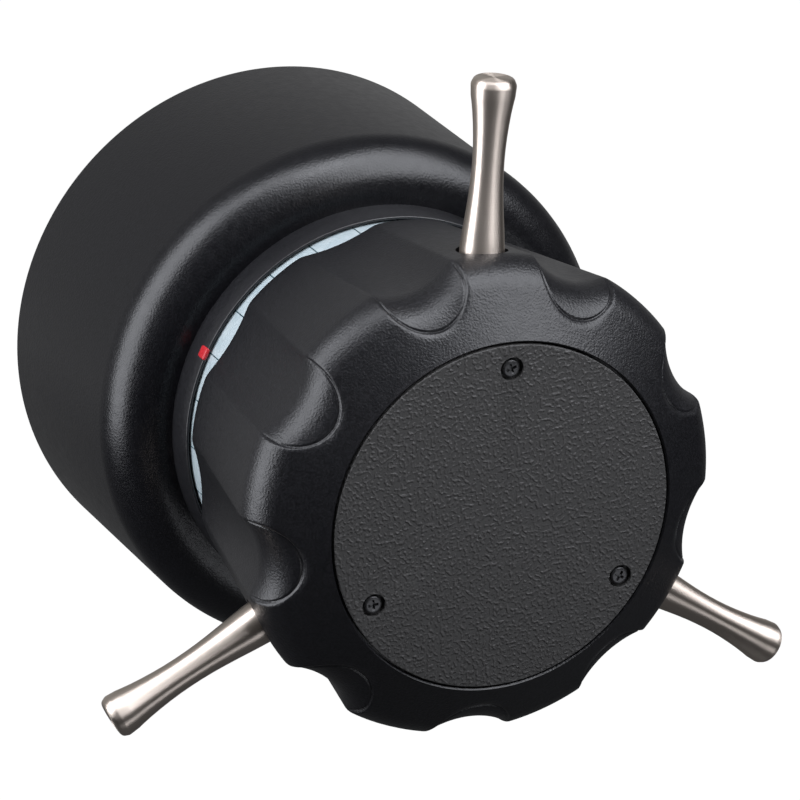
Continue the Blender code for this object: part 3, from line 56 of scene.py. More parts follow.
drum_edge = 0.5 * mm
cover_recess = 4.3 * mm
ledge_width = 11.2 * mm
ledge_depth = 8 * mm
round_steps = 240
seat_gap = 0.3 * mm
weld_distance = 0.002 * mm


def round_corner(shape, point, rounding, curve):
    """Put an arc of a given radius, in curve segments, at one corner of an outline."""
    ways = [edge.other_vert(point).co - point.co for edge in point.link_edges]
    reach = rounding / tan(ways[0].angle(ways[1]) / 2)
    bmesh.ops.bevel(shape, geom=[point], offset=reach, offset_type="OFFSET", segments=curve,
                    profile=0.5, affect="VERTICES", material=-1)


def turn(corners, steps, curve=8):
    """Spin an outline of (radius, depth, rounding) corners about the Y axis."""
    shape = bmesh.new()
    points = [shape.verts.new((0, depth, radius)) for radius, depth, rounding in corners]
    following = points[1:] if corners[0][0] == 0 else points[1:] + points[:1]
    for near, far in zip(points, following):
        shape.edges.new((near, far))
    for point, (radius, depth, rounding) in zip(points, corners):
        if rounding:
            round_corner(shape, point, rounding, curve)
    return spin_outline(shape, steps)


def spin_outline(shape, steps):
    """Spin the shape's outline once about the Y axis and close its seam and poles."""
    bmesh.ops.spin(shape, geom=shape.verts[:] + shape.edges[:], axis=(0, 1, 0), cent=(0, 0, 0),
                   angle=2 * pi, steps=steps, use_merge=True)
    bmesh.ops.remove_doubles(shape, verts=shape.verts, dist=weld_distance)
    bmesh.ops.recalc_face_normals(shape, faces=shape.faces)
    return shape


def show(shape, name, look, sharp=35):
    """Make the bmesh a smooth-shaded object with its true edges kept sharp."""
    mesh = bpy.data.meshes.new(name)
    shape.to_mesh(mesh)
    shape.free()
    mesh.shade_smooth()
    mesh.set_sharp_from_angle(angle=radians(sharp))
    mesh.materials.append(look)
    piece = bpy.data.objects.new(name, mesh)
    bpy.context.scene.collection.objects.link(piece)
    return piece


def start_look(name, colour, roughness, metallic=0.0, specular=0.5):
    """A material with its uniform values on the shader's own sockets."""
    look = bpy.data.materials.new(name)
    look.use_nodes = True
    shader = look.node_tree.nodes["Principled BSDF"]
    shader.inputs["Base Color"].default_value = (*colour, 1)
    shader.inputs["Roughness"].default_value = roughness
    shader.inputs["Metallic"].default_value = metallic
    shader.inputs["Specular IOR Level"].default_value = specular
    return look, shader


def add(look, kind, feeds, **settings):
    """New node whose inputs are fed by values or by other nodes' outputs."""
    made = look.node_tree.nodes.new("ShaderNode" + kind)
    for name, value in settings.items():
        setattr(made, name, value)
    for socket, value in feeds.items():
        if isinstance(value, bpy.types.NodeSocket):
            look.node_tree.links.new(value, made.inputs[socket])
        else:
            made.inputs[socket].default_value = value
    return made


def feed(look, output, shader, socket):
    """Link a node's output to one of the shader's sockets."""
    look.node_tree.links.new(output, shader.inputs[socket])


def noise(look, size, detail=2.0, place=None):
    """Noise of a given grain size in metres, from Object coordinates."""
    place = place or add(look, "TexCoord", {}).outputs["Object"]
    feeds = {"Vector": place, "Scale": 1 / size, "Detail": detail}
    return add(look, "TexNoise", feeds).outputs["Fac"]


def ramp(look, factor, low, high, dark, light):
    """Remap a factor from low..high to dark..light, values or colours."""
    if isinstance(dark, tuple):
        made = add(look, "ValToRGB", {"Fac": factor})
        for step, place, colour in zip(made.color_ramp.elements, (low, high), (dark, light)):
            step.position = place
            step.color = (*colour, 1)
        return made.outputs["Color"]
    feeds = {"Value": factor, "From Min": low, "From Max": high, "To Min": dark, "To Max": light}
    return add(look, "MapRange", feeds).outputs["Result"]


def tint(look, shader, marks, dark, light):
    """Colour that goes from dark to light with the marks."""
    feed(look, ramp(look, marks, 0.3, 0.7, dark, light), shader, "Base Color")


def dull(look, shader, marks, smooth, rough):
    """Roughness that goes from smooth to rough with the marks."""
    feed(look, ramp(look, marks, 0.3, 0.7, smooth, rough), shader, "Roughness")


def bump(look, shader, height, distance, under=None):
    """Relief of a given depth, over the relief under it if there is one."""
    feeds = {"Height": height, "Distance": distance, "Strength": 1.0}
    if under:
        feeds["Normal"] = under
    made = add(look, "Bump", feeds).outputs["Normal"]
    feed(look, made, shader, "Normal")
    return made


def crinkle_paint(name, dark, light, rough, grain, height):
    """Fine crinkle paint: two sizes of grain, with tone and gloss that follow them."""
    look, shader = start_look(name, light, rough, specular=0.5)
    fine = noise(look, grain, 1.0)
    grains = ramp(look, fine, 0.35, 0.65, 0.0, 1.0)
    broad = noise(look, grain * 4, 2.0)
    feed(look, ramp(look, fine, 0.35, 0.7, dark, light), shader, "Base Color")
    dull(look, shader, broad, rough - 0.03, rough + 0.03)
    under = bump(look, shader, broad, height / 2)
    bump(look, shader, grains, height, under)
    return look


drum_paint = crinkle_paint("drum_crinkle", dark=(0.002, 0.002, 0.003), light=(0.005, 0.005, 0.0065),
                           rough=0.31, grain=0.45 * mm, height=0.015 * mm)
seat_y = drum_back - cover_recess
drum = show(turn([
    (drum_mouth_radius, drum_front, drum_edge),
    (drum_front_radius, drum_front, drum_shoulder),
    (drum_rear_radius, drum_back, drum_edge),
    (drum_rear_radius - drum_wall, drum_back, 0.3 * mm),
    (drum_rear_radius - drum_wall, seat_y, 0),
    (drum_rear_radius - ledge_width, seat_y, 0),
    (drum_rear_radius - ledge_width, seat_y - ledge_depth, 0),
    (drum_front_radius - drum_wall, seat_y - ledge_depth, 0),
    (drum_front_radius - drum_wall, drum_front + drum_wall, drum_shoulder - drum_wall),
    (drum_mouth_radius, drum_front + drum_wall, 0),
], round_steps, 16), "drum_shell", drum_paint)
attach(drum, "housing")
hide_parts("drum_housing")


# Bearing tube. A turned alloy tube on a flange, screwed behind the drum's face, which holds the
# two ball bearings of the spindle. The solids are kept here, with machined finishes.
def assign(look, *names):
    """Give carried-over solids a finish."""
    for name in names:
        for material_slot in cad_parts[name].material_slots:
            material_slot.material = look


def worked_metal(name, dark, light, smooth, rough, grain):
    """Machined metal with faint tool marks in tone, gloss and relief."""
    look, shader = start_look(name, light, rough, 1.0)
    marks = noise(look, grain, 3.0)
    tint(look, shader, marks, dark, light)
    dull(look, shader, marks, smooth, rough)
    bump(look, shader, marks, 0.003 * mm)
    return look


alloy_look = worked_metal("machined_alloy", (0.5, 0.5, 0.51), (0.62, 0.62, 0.63), 0.3, 0.42, 0.7 * mm)
assign(alloy_look, "bearing_tube", "encoder_bracket", "hub")
race_look = worked_metal("bearing_steel", (0.5, 0.5, 0.5), (0.6, 0.6, 0.6), 0.16, 0.26, 0.5 * mm)
assign(race_look, "front_bearing_outer", "front_bearing_inner")
assign(race_look, "rear_bearing_outer", "rear_bearing_inner")


# Spindle and its fixings. A ground steel shaft through the bearings, held by a washer and two
# nuts, with the alloy hub that the knob's web is screwed to.
assign(race_look, "spindle", "spindle_washer", "spindle_nut", "gear_nut")


# Gear train. A brass gear on the spindle drives a small brass pinion on the encoder's shaft,
# and two steel pins in the bracket stop the gear's lug at each end of the turn.
brass_look = worked_metal("gear_brass", (0.55, 0.38, 0.15), (0.68, 0.49, 0.22), 0.24, 0.36, 0.4 * mm)
assign(brass_look, "drive_gear", "encoder_pinion")
assign(race_look, "encoder_shaft", "stop_pin_1", "stop_pin_2")
moulded_look, moulded_shader = start_look("moulded_black", (0.02, 0.02, 0.021), 0.5, specular=0.4)
moulded_grain = noise(moulded_look, 0.25 * mm, 3.0)
tint(moulded_look, moulded_shader, moulded_grain, (0.015, 0.015, 0.016), (0.026, 0.026, 0.027))
dull(moulded_look, moulded_shader, moulded_grain, 0.42, 0.56)
bump(moulded_look, moulded_shader, moulded_grain, 0.008 * mm)
assign(moulded_look, "encoder_body")


# Circuit board. Green laminate on three posts of the rear cover, with one processor chip and
# the header for the cable socket's leads.
board_look, board_shader = start_look("green_laminate", (0.02, 0.12, 0.05), 0.35, specular=0.5)
laminate = noise(board_look, 1.2 * mm, 4.0)
tint(board_look, board_shader, laminate, (0.012, 0.085, 0.032), (0.026, 0.14, 0.06))
dull(board_look, board_shader, laminate, 0.28, 0.42)
bump(board_look, board_shader, laminate, 0.01 * mm)
assign(board_look, "circuit_board")
assign(moulded_look, "processor_chip", "board_header")


# Rear cover. A turned alloy lid in matt black, let into the drum's back, with the raised pad
# that bolts to a clamp by four tapped holes. Its screw heads and the cable socket are sunk in.
cover_back, pad_back = drum_back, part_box("rear_cover")[1].y
lid_thickness = 4 * mm
cover_front = cover_back - lid_thickness
cover_radius = drum_rear_radius - drum_wall - seat_gap
pad_radius = 22 * mm
pad_hole_radius = 1.65 * mm
pad_hole_spread = 12.5 * mm
pad_hole_depth = 5.5 * mm
cover_screw_sink = 2.9 * mm
cover_screw_seat = cover_back - 2.4 * mm
screw_sink_lead = 0.15 * mm
socket_drop = 34 * mm
socket_hole = 7.5 * mm
socket_place = Matrix.Translation((0, 0, -socket_drop))
cut_overrun = 1 * mm


def carve(piece, cutter_shape, sharp=35, way="DIFFERENCE"):
    """Cut a closed shape out of a piece, or join one to it."""
    cutter = show(cutter_shape, "cutter", piece.data.materials[0])
    change = piece.modifiers.new("cut", "BOOLEAN")
    change.operation = way
    change.solver = "EXACT"
    change.object = cutter
    cut_piece = piece.evaluated_get(bpy.context.evaluated_depsgraph_get())
    finished = bpy.data.meshes.new_from_object(cut_piece)
    piece.modifiers.clear()
    finished.shade_smooth()
    finished.set_sharp_from_angle(angle=radians(sharp))
    piece.data = finished
    bpy.data.objects.remove(cutter)


def place_copies(shape, places):
    """One bmesh with a copy of the shape at each place."""
    mesh = bpy.data.meshes.new("copy")
    shape.to_mesh(mesh)
    shape.free()
    joined = bmesh.new()
    for place in places:
        before = len(joined.verts)
        joined.from_mesh(mesh)
        joined.verts.ensure_lookup_table()
        bmesh.ops.transform(joined, matrix=place, verts=joined.verts[before:])
    return joined


cover_look, cover_shader = start_look("matt_black", (0.03, 0.03, 0.032), 0.5, specular=0.3)
cover_grain = noise(cover_look, 0.3 * mm, 3.0)
cover_tone = ramp(cover_look, cover_grain, 0.35, 0.7, (0.024, 0.024, 0.026), (0.036, 0.036, 0.038))
feed(cover_look, cover_tone, cover_shader, "Base Color")
dull(cover_look, cover_shader, noise(cover_look, 6 * mm), 0.44, 0.56)
bump(cover_look, cover_shader, cover_grain, 0.012 * mm)
lid = show(turn([
    (0, cover_front, 0),
    (cover_radius, cover_front, 0.2 * mm),
    (cover_radius, cover_back, 0.35 * mm),
    (pad_radius, cover_back, 0.4 * mm),
    (pad_radius, pad_back, 0.6 * mm),
    (0, pad_back, 0),
], round_steps, 5), "rear_lid", cover_look)


def bore(radius, front, back, steps=48, lead=0.3 * mm):
    """Cutter for a plain hole that opens at its +Y end with a small lead-in."""
    return turn([(0, front, 0), (radius, front, 0), (radius, back - lead, 0),
                 (radius + 2 * lead, back + lead, 0), (0, back + lead, 0)], steps)


def on_axis_of(node):
    """Shift from the knob's axis to a fastener's own axis."""
    low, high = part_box(node)
    return Matrix.Translation(((low.x + high.x) / 2, 0, (low.z + high.z) / 2))


pad_spots = [Matrix.Translation((across * pad_hole_spread, 0, up * pad_hole_spread))
             for across in (-1, 1) for up in (-1, 1)]
carve(lid, place_copies(bore(pad_hole_radius, pad_back - pad_hole_depth, pad_back), pad_spots))
cover_spots = [on_axis_of(f"cover_screw_{number}") for number in (1, 2, 3, 4)]
screw_sink = bore(cover_screw_sink, cover_screw_seat, cover_back, lead=screw_sink_lead)
carve(lid, place_copies(screw_sink, cover_spots))
socket_cut = bore(socket_hole, cover_front - cut_overrun, cover_back)
carve(lid, place_copies(socket_cut, [socket_place]))
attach(lid, "housing")
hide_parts("rear_cover")


# Cover screws. Black-oxide steel pan heads with a cross recess, four round the lid. The same
# finish goes on the plain screws inside.
black_look, black_shader = start_look("black_oxide", (0.05, 0.05, 0.052), 0.3, 0.6)
oxide = noise(black_look, 0.4 * mm)
tint(black_look, black_shader, oxide, (0.04, 0.04, 0.042), (0.075, 0.075, 0.077))
dull(black_look, black_shader, oxide, 0.24, 0.4)
bump(black_look, black_shader, oxide, 0.004 * mm)
crown_share = 0.55
recess_floor_shares = (0.35, 0.8, 0.7)
recess_rise_share = 0.15
recess_turn = pi / 9
rear_screw_turn = 0.7


def cross_screw(front, head, height, shank, length, slot_width, slot_length):
    """Pan-head screw on the Y axis with a tapered cross recess."""
    screw = show(turn([(0, front, 0), (head, front, height * crown_share), (head, front + height, 0),
                       (shank, front + height, 0), (shank, front + height + length, 0),
                       (0, front + height + length, 0)], 48, 6), "screw", black_look)
    for quarter in (0, pi / 2):
        arm = bmesh.new()
        bmesh.ops.create_cube(arm, size=1)
        bmesh.ops.scale(arm, verts=arm.verts, vec=(slot_length, height * 2, slot_width))
        deep = [vert for vert in arm.verts if vert.co.y > 0]
        bmesh.ops.scale(arm, verts=deep, vec=recess_floor_shares)
        bmesh.ops.translate(arm, verts=arm.verts, vec=(0, front - height * recess_rise_share, 0))
        bmesh.ops.rotate(arm, verts=arm.verts, cent=(0, 0, 0),
                         matrix=Matrix.Rotation(quarter + recess_turn, 3, "Y"))
        carve(screw, arm)
    mesh = screw.data
    bpy.data.objects.remove(screw)
    made = bmesh.new()
    made.from_mesh(mesh)
    return made


def fit_rear_screws(screw_shape, node, name, count):
    """Turn a screw to face the back and put a copy in place of each like node."""
    for number in range(1, count + 1):
        shape = screw_shape.copy()
        head_depth = Matrix.Translation((0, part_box(f"{node}_{number}")[1].y, 0))
        back = head_depth @ on_axis_of(f"{node}_{number}")
        turned = Matrix.Rotation(pi, 4, "X") @ Matrix.Rotation(number * rear_screw_turn, 4, "Y")
        bmesh.ops.transform(shape, matrix=back @ turned, verts=shape.verts)
        screw = show(shape, f"{name}_{number}", black_look)
        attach(screw, "housing")
        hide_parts(f"{node}_{number}")
    screw_shape.free()


lid_screw = cross_screw(0, head=2.6 * mm, height=1.6 * mm, shank=1.5 * mm, length=6.5 * mm,
                        slot_width=1.05 * mm, slot_length=5.2 * mm)
fit_rear_screws(lid_screw, "cover_screw", "lid_screw", 4)
inner_screws = ["tube_screw", "ring_screw", "hub_screw", "board_screw"]
assign(black_look, *[f"{kind}_{number}" for kind in inner_screws for number in (1, 2, 3)])
assign(black_look, "bracket_screw_1", "bracket_screw_2")


# Cable socket. A plated steel shell with a square flange on the lid, a black insert and seven
# gold-plated pins. The lens cable plugs in here, and none is fitted.
shell_front, shell_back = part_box("connector_shell")[0].y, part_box("connector_shell")[1].y
barrel_proud = 0.8 * mm
flange_thickness = 1.2 * mm
flange_back = shell_back - barrel_proud
flange_front = flange_back - flange_thickness
flange_half = 8.5 * mm
flange_corner = 1.5 * mm
flange_edge = 0.15 * mm
flange_hole = 1.2 * mm
barrel_radius = 7.2 * mm
barrel_bore = 6.2 * mm
insert_radius = 5.9 * mm
insert_depth = 3.5 * mm
pin_radius = 0.5 * mm
pin_circle = 3.4 * mm
outer_pins = 6
plated_look = worked_metal("plated_steel", (0.5, 0.49, 0.47), (0.62, 0.61, 0.59), 0.22, 0.34, 0.6 * mm)
flange = bmesh.new()
bmesh.ops.create_cube(flange, size=1)
bmesh.ops.scale(flange, verts=flange.verts, vec=(flange_half * 2, flange_thickness, flange_half * 2))


def runs_through(edge):
    """Whether an edge of the flange runs from its front to its back."""
    return abs(edge.verts[0].co.y - edge.verts[1].co.y) > flange_thickness / 2


upright = [edge for edge in flange.edges if runs_through(edge)]
bmesh.ops.bevel(flange, geom=upright, offset=flange_corner, segments=8, profile=0.5,
                affect="EDGES", material=-1)
outer = [edge for edge in flange.edges
         if edge.is_manifold and edge.calc_face_angle() > 1 and not runs_through(edge)]
bmesh.ops.bevel(flange, geom=outer, offset=flange_edge, segments=2, profile=0.5,
                affect="EDGES", material=-1)
bmesh.ops.translate(flange, verts=flange.verts, vec=(0, (flange_front + flange_back) / 2, 0))
shell = show(flange, "socket_shell", plated_look)
barrel = turn([
    (0, shell_front, 0),
    (barrel_radius, shell_front, 0.2 * mm),
    (barrel_radius, shell_back, 0.25 * mm),
    (0, shell_back, 0),
], 96, 4)
carve(shell, place_copies(barrel, [Matrix.Identity(4)]), way="UNION")
carve(shell, bore(barrel_bore, shell_front - cut_overrun, shell_back, 96, 0.1 * mm))
flange_screws = [socket_place.inverted() @ on_axis_of(f"connector_screw_{number}") for number in (1, 2)]
screw_hole = bore(flange_hole, flange_front - cut_overrun, flange_back + cut_overrun, lead=0)
carve(shell, place_copies(screw_hole, flange_screws))
shell.data.transform(socket_place)
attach(shell, "housing")
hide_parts("connector_shell")
insert_low, insert_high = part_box("connector_insert")
insert_face = insert_low.y + insert_depth
insert = show(turn([
    (0, insert_low.y, 0),
    (insert_radius, insert_low.y, 0.2 * mm),
    (insert_radius, insert_face, 0.3 * mm),
    (0, insert_face, 0),
], 64, 4), "socket_insert", moulded_look)
insert.data.transform(socket_place)
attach(insert, "housing")
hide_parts("connector_insert")
pin_look = worked_metal("gold_plate", (0.75, 0.55, 0.2), (0.86, 0.66, 0.3), 0.16, 0.26, 0.3 * mm)
pin_foot = insert_low.y + 1 * mm
pin = turn([(0, pin_foot, 0), (pin_radius, pin_foot, 0),
            (pin_radius, insert_high.y, 0.4 * mm), (0, insert_high.y, 0)], 20, 4)
pin_spots = [socket_place]
for number in range(outer_pins):
    pin_turn = Matrix.Rotation(number * 2 * pi / outer_pins, 4, "Y")
    pin_spots.append(socket_place @ pin_turn @ Matrix.Translation((0, 0, pin_circle)))
pins = show(place_copies(pin, pin_spots), "socket_pins", pin_look)
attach(pins, "housing")
flange_screw = cross_screw(0, head=1.6 * mm, height=1.0 * mm, shank=0.9 * mm, length=3.3 * mm,
                           slot_width=0.5 * mm, slot_length=1.9 * mm)
fit_rear_screws(flange_screw, "connector_screw", "flange_screw", 2)


# Index ring. A low turned collar in a smoother coat of the same paint, screwed to the drum's
# face. Its thin wall guards the scale strip that turns inside it.
ring_front, ring_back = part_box("index_ring")[0].y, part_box("index_ring")[1].y
ring_base_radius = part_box("index_ring")[1].x
ring_taper = 0.6 * mm
ring_wall = 0.6 * mm
ring_flange_width = 4.6 * mm
ring_flange_thickness = 2 * mm
ring_front_radius = ring_base_radius - ring_taper
ring_bore_radius = ring_front_radius - ring_wall
ring_flange_radius = ring_bore_radius - ring_flange_width
ring_rim = 1 * mm
ring_seat = drum_front - 0.03 * mm
ring_paint = crinkle_paint("ring_paint", dark=(0.008, 0.008, 0.009), light=(0.014, 0.014, 0.016),
                           rough=0.32, grain=0.5 * mm, height=0.006 * mm)
ring = show(turn([
    (ring_bore_radius, ring_front, 0.12 * mm),
    (ring_front_radius, ring_front, 0.3 * mm),
    (ring_base_radius, ring_seat, 0.05 * mm),
    (ring_base_radius - ring_rim, ring_seat, 0),
    (ring_base_radius - ring_rim, ring_back, 0),
    (ring_flange_radius, ring_back, 0),
    (ring_flange_radius, ring_back - ring_flange_thickness, 0.1 * mm),
    (ring_bore_radius, ring_back - ring_flange_thickness, 0),
], round_steps, 6), "index_collar", ring_paint)
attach(ring, "housing")
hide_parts("index_ring")


# Index mark. A small red plastic block with rounded edges, let into the collar's front edge,
# where it points at the scale.
mark_angle = radians(-63.4)
mark_width = 2.7 * mm
mark_depth = 3.0 * mm
mark_round = 0.45 * mm
mark_proud = 0.1 * mm
mark_inner = ring_bore_radius - 0.1 * mm
mark_outer = ring_front_radius + 0.3 * mm
red_look, red_shader = start_look("index_red", (0.45, 0.022, 0.03), 0.3)
tint(red_look, red_shader, noise(red_look, 0.5 * mm), (0.38, 0.015, 0.02), (0.52, 0.03, 0.04))
bump(red_look, red_shader, noise(red_look, 0.3 * mm), 0.005 * mm)
shape = bmesh.new()
bmesh.ops.create_cube(shape, size=1)
bmesh.ops.scale(shape, verts=shape.verts, vec=(mark_width, mark_depth, mark_outer - mark_inner))
bmesh.ops.bevel(shape, geom=shape.edges[:], offset=mark_round, segments=4, profile=0.5,
                affect="EDGES", material=-1)
mark_middle = (0, ring_front + mark_depth / 2 - mark_proud, (mark_outer + mark_inner) / 2)
bmesh.ops.translate(shape, verts=shape.verts, vec=mark_middle)
bmesh.ops.rotate(shape, verts=shape.verts, cent=(0, 0, 0), matrix=Matrix.Rotation(mark_angle, 3, "Y"))
mark = show(shape, "index_block", red_look)
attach(mark, "housing")
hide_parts("index_mark")


# Scale ring. A moulded black ring clamped in the knob's skirt, which turns just inside the index
# ring and carries the strip.
assign(moulded_look, "scale_ring")


# Scale strip. A pale printed film wrapped round the knob's skirt, with fine dark dividing lines
# that pass under the index mark.
strip_front, strip_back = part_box("scale_strip")[0].y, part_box("scale_strip")[1].y
strip_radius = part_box("scale_strip")[1].x
tick_pitch = radians(13.64)
tick_middle = radians(-62.7)
ticks_each_way = 5
tick_width = 0.22 * mm
tick_margin = 0.1 * mm
tick_height = 0.08 * mm
film_thickness = 0.3 * mm
film_edge = 0.05 * mm
film_look, film_shader = start_look("printed_film", (0.36, 0.43, 0.45), 0.35)
tint(film_look, film_shader, noise(film_look, 2.5 * mm), (0.33, 0.4, 0.43), (0.4, 0.46, 0.48))
bump(film_look, film_shader, noise(film_look, 0.5 * mm), 0.004 * mm)
strip = show(turn([
    (strip_radius - film_thickness, strip_front, 0),
    (strip_radius, strip_front, film_edge),
    (strip_radius, strip_back, film_edge),
    (strip_radius - film_thickness, strip_back, 0),
], round_steps, 2), "scale_film", film_look)
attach(strip, "knob")
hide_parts("scale_strip")
ink_look, ink_shader = start_look("scale_ink", (0.01, 0.04, 0.05), 0.45)
tint(ink_look, ink_shader, noise(ink_look, 0.4 * mm), (0.007, 0.03, 0.04), (0.014, 0.05, 0.06))
tick = bmesh.new()
bmesh.ops.create_cube(tick, size=1)
tick_length = strip_back - strip_front - 2 * tick_margin
bmesh.ops.scale(tick, verts=tick.verts, vec=(tick_width, tick_length, tick_height))
bmesh.ops.translate(tick, verts=tick.verts, vec=(0, (strip_front + strip_back) / 2, strip_radius))
tick_turns = [Matrix.Rotation(tick_middle + step * tick_pitch, 4, "Y")
              for step in range(-ticks_each_way, ticks_each_way + 1)]
ticks = show(place_copies(tick, tick_turns), "scale_lines", ink_look)
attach(ticks, "knob")


# Knob grip. An aluminium casting in the same black crinkle: nine broad lobes between nine
# scooped flutes, each of which rolls over the shoulder and ends in a small U-shaped step.
knob_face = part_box("face_disc")[0].y
knob_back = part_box("knob_grip")[1].y
knob_turn = radians(3.9)
lobe_count = 9
lobe_radius = 50.2 * mm
lobe_back_radius = 44.5 * mm
lobe_shoulder = 8.5 * mm
cavity_round = 5.5 * mm
cone_angle = radians(29)
face_radius = 36 * mm
cone_run = lobe_radius - lobe_shoulder - face_radius
shoulder_depth = cone_run * tan(cone_angle) + lobe_shoulder / cos(cone_angle)
side_slope = (lobe_back_radius - lobe_radius) / (knob_back - knob_face - shoulder_depth)
web_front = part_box("face_disc")[1].y + seat_gap
web_thickness = 5 * mm
web_back = web_front + web_thickness
web_bore_radius = 9.3 * mm
cavity_radius = 42 * mm
seat_radius = 38.8 * mm
seat_depth = 10 * mm
lip_radius = face_radius + seat_gap / 2
lip_chamfer = 0.3 * mm
flute_half = 8.8 * mm
flute_back_depth = 1.7 * mm
flute_front_depth = 3.8 * mm
flute_step = 0.5 * mm
flute_shoulder = 10.5 * mm
mouth_end = 41.3 * mm
mouth_centre = mouth_end + flute_half
rim_width = 1.5 * mm
rim_drop = 0.42 * mm
groove_width = 0.34 * mm
groove_depth = 0.28 * mm
wall_width = 0.26 * mm
crease = 0.22 * mm
knob_steps = 720
shoulder_curve, edge_curve = 10, 4
steps_to_crease = 21
lobe_fall = flute_half ** 2 / (2 * lobe_radius)
half_sector = pi / lobe_count
thinnest_scoop = 0.03 * mm
fall_rounds = 5
halvings = 24
cone_normal = Vector((sin(cone_angle), -cos(cone_angle)))


def corner_of(side_point, side_normal, cone_point):
    """Where a side line meets a line parallel to the cone, as (radius, depth)."""
    side_way = Vector((-side_normal[1], side_normal[0]))
    share = (cone_point - side_point).dot(cone_normal) / side_way.dot(cone_normal)
    return side_point + side_way * share


class RoundedCorner:
    """A side line and a cone line joined by a fillet, with the distance of points from them."""

    def __init__(self, side_point, side_normal, cone_point, fillet):
        self.corner = corner_of(side_point, side_normal, cone_point)
        self.side = side_normal
        self.fillet = fillet
        spread = side_normal.angle(cone_normal)
        inward = -(side_normal + cone_normal).normalized()
        self.centre = self.corner + inward * fillet / cos(spread / 2)
        self.spread = spread

    def measure(self, point):
        """Distance outside the line, share from side (0) to cone (1), and the normal."""
        way = point - self.centre
        past_side = way.normalized().angle_signed(self.side)
        past_cone = way.normalized().angle_signed(cone_normal)
        if past_side * past_cone < 0 and abs(past_side) + abs(past_cone) < pi / 2:
            share = abs(past_side) / self.spread
            return way.length - self.fillet, share, way.normalized()
        if way.dot(self.side) > way.dot(cone_normal):
            return way.dot(self.side) - self.fillet, 0, self.side
        return way.dot(cone_normal) - self.fillet, 1, cone_normal


lobe_side_normal = Vector((1, -side_slope)).normalized()
lobe_line = RoundedCorner(Vector((lobe_back_radius, knob_back)), lobe_side_normal,
                          Vector((face_radius, knob_face)), lobe_shoulder)
floor_cone_point = Vector((face_radius, knob_face + flute_step / cos(cone_angle)))
inset_corner = corner_of(Vector((lobe_back_radius - flute_front_depth, knob_back)), lobe_side_normal,
                         floor_cone_point)
floor_way = Vector((lobe_back_radius - flute_back_depth, knob_back)) - inset_corner
floor_side_normal = Vector((floor_way[1], -floor_way[0])).normalized()
floor_line = RoundedCorner(inset_corner, floor_side_normal, floor_cone_point, flute_shoulder)


def scoop_rise(across, depth):
    """Height of the scooped floor above its middle, stopped just short of its circle's edge."""
    bend = (flute_half ** 2 + depth ** 2) / (2 * depth)
    return bend - sqrt(bend ** 2 - min(across, 0.98 * bend) ** 2)


def depth_under(across, point, way):
    """How far a point lies above the flute's floor, measured along the outline's normal."""
    fall = 0
    for _ in range(fall_rounds):
        height, share, normal = floor_line.measure(point - way * fall)
        along = min(1, max(0, (point[1] - inset_corner[1]) / (knob_back - inset_corner[1])))
        side_depth = flute_front_depth + (flute_back_depth - flute_front_depth) * along
        depth = side_depth + (flute_step - side_depth) * share - lobe_fall * way[0]
        fall += height - scoop_rise(abs(across), max(depth, thinnest_scoop))
    return fall


def crease_angle(radius, depth, way):
    """Angle from a flute's middle at which its floor meets the lobe."""
    low, high = 0, half_sector
    for _ in range(halvings):
        angle = (low + high) / 2
        if depth_under(radius * sin(angle), Vector((radius * cos(angle), depth)), way) > 0:
            low = angle
        else:
            high = angle
    return low


shape = bmesh.new()
fine_length = 9 * mm
fine_end = knob_face + shoulder_depth + fine_length
fine_radius = lobe_radius + side_slope * fine_length
corners = [
    (lip_radius + lip_chamfer, knob_face + lip_chamfer * tan(cone_angle), 0, 26),
    (lobe_line.corner[0], lobe_line.corner[1], lobe_shoulder, 12),
    (fine_radius, fine_end, 0, 13),
    (lobe_back_radius, knob_back, 0.35 * mm, 0),
    (seat_radius, knob_back, 0.2 * mm, 0),
    (seat_radius, knob_back - seat_depth, 0, 0),
    (cavity_radius, web_back + cavity_round, 0, 0),
    (cavity_radius - cavity_round, web_back, 0, 0),
    (web_bore_radius, web_back, 0, 0),
    (web_bore_radius, web_front, 0, 0),
    (lip_radius, web_front, 0, 0),
    (lip_radius, knob_face + lip_chamfer * 1.5, 0, 0),
]
points = [shape.verts.new((0, depth, radius)) for radius, depth, rounding, rows in corners]
for near, far in zip(points, points[1:] + points[:1]):
    shape.edges.new((near, far))
for point, (radius, depth, rounding, rows) in zip(points, corners):
    if rounding:
        curve = shoulder_curve if rounding == lobe_shoulder else edge_curve
        round_corner(shape, point, rounding, curve)
for (radius, depth, rounding, rows), after in zip(corners, corners[1:]):
    ends = Vector((0, depth + after[1], radius + after[0]))
    if rows:
        nearest = min(shape.edges, key=lambda edge: (edge.verts[0].co + edge.verts[1].co - ends).length)
        bmesh.ops.subdivide_edges(shape, edges=[nearest], cuts=rows)
spin_outline(shape, knob_steps)


def flute_middle(angle):
    """Angle of a point from the middle of the nearest flute, both clockwise from up."""
    return (angle % (2 * half_sector)) - half_sector


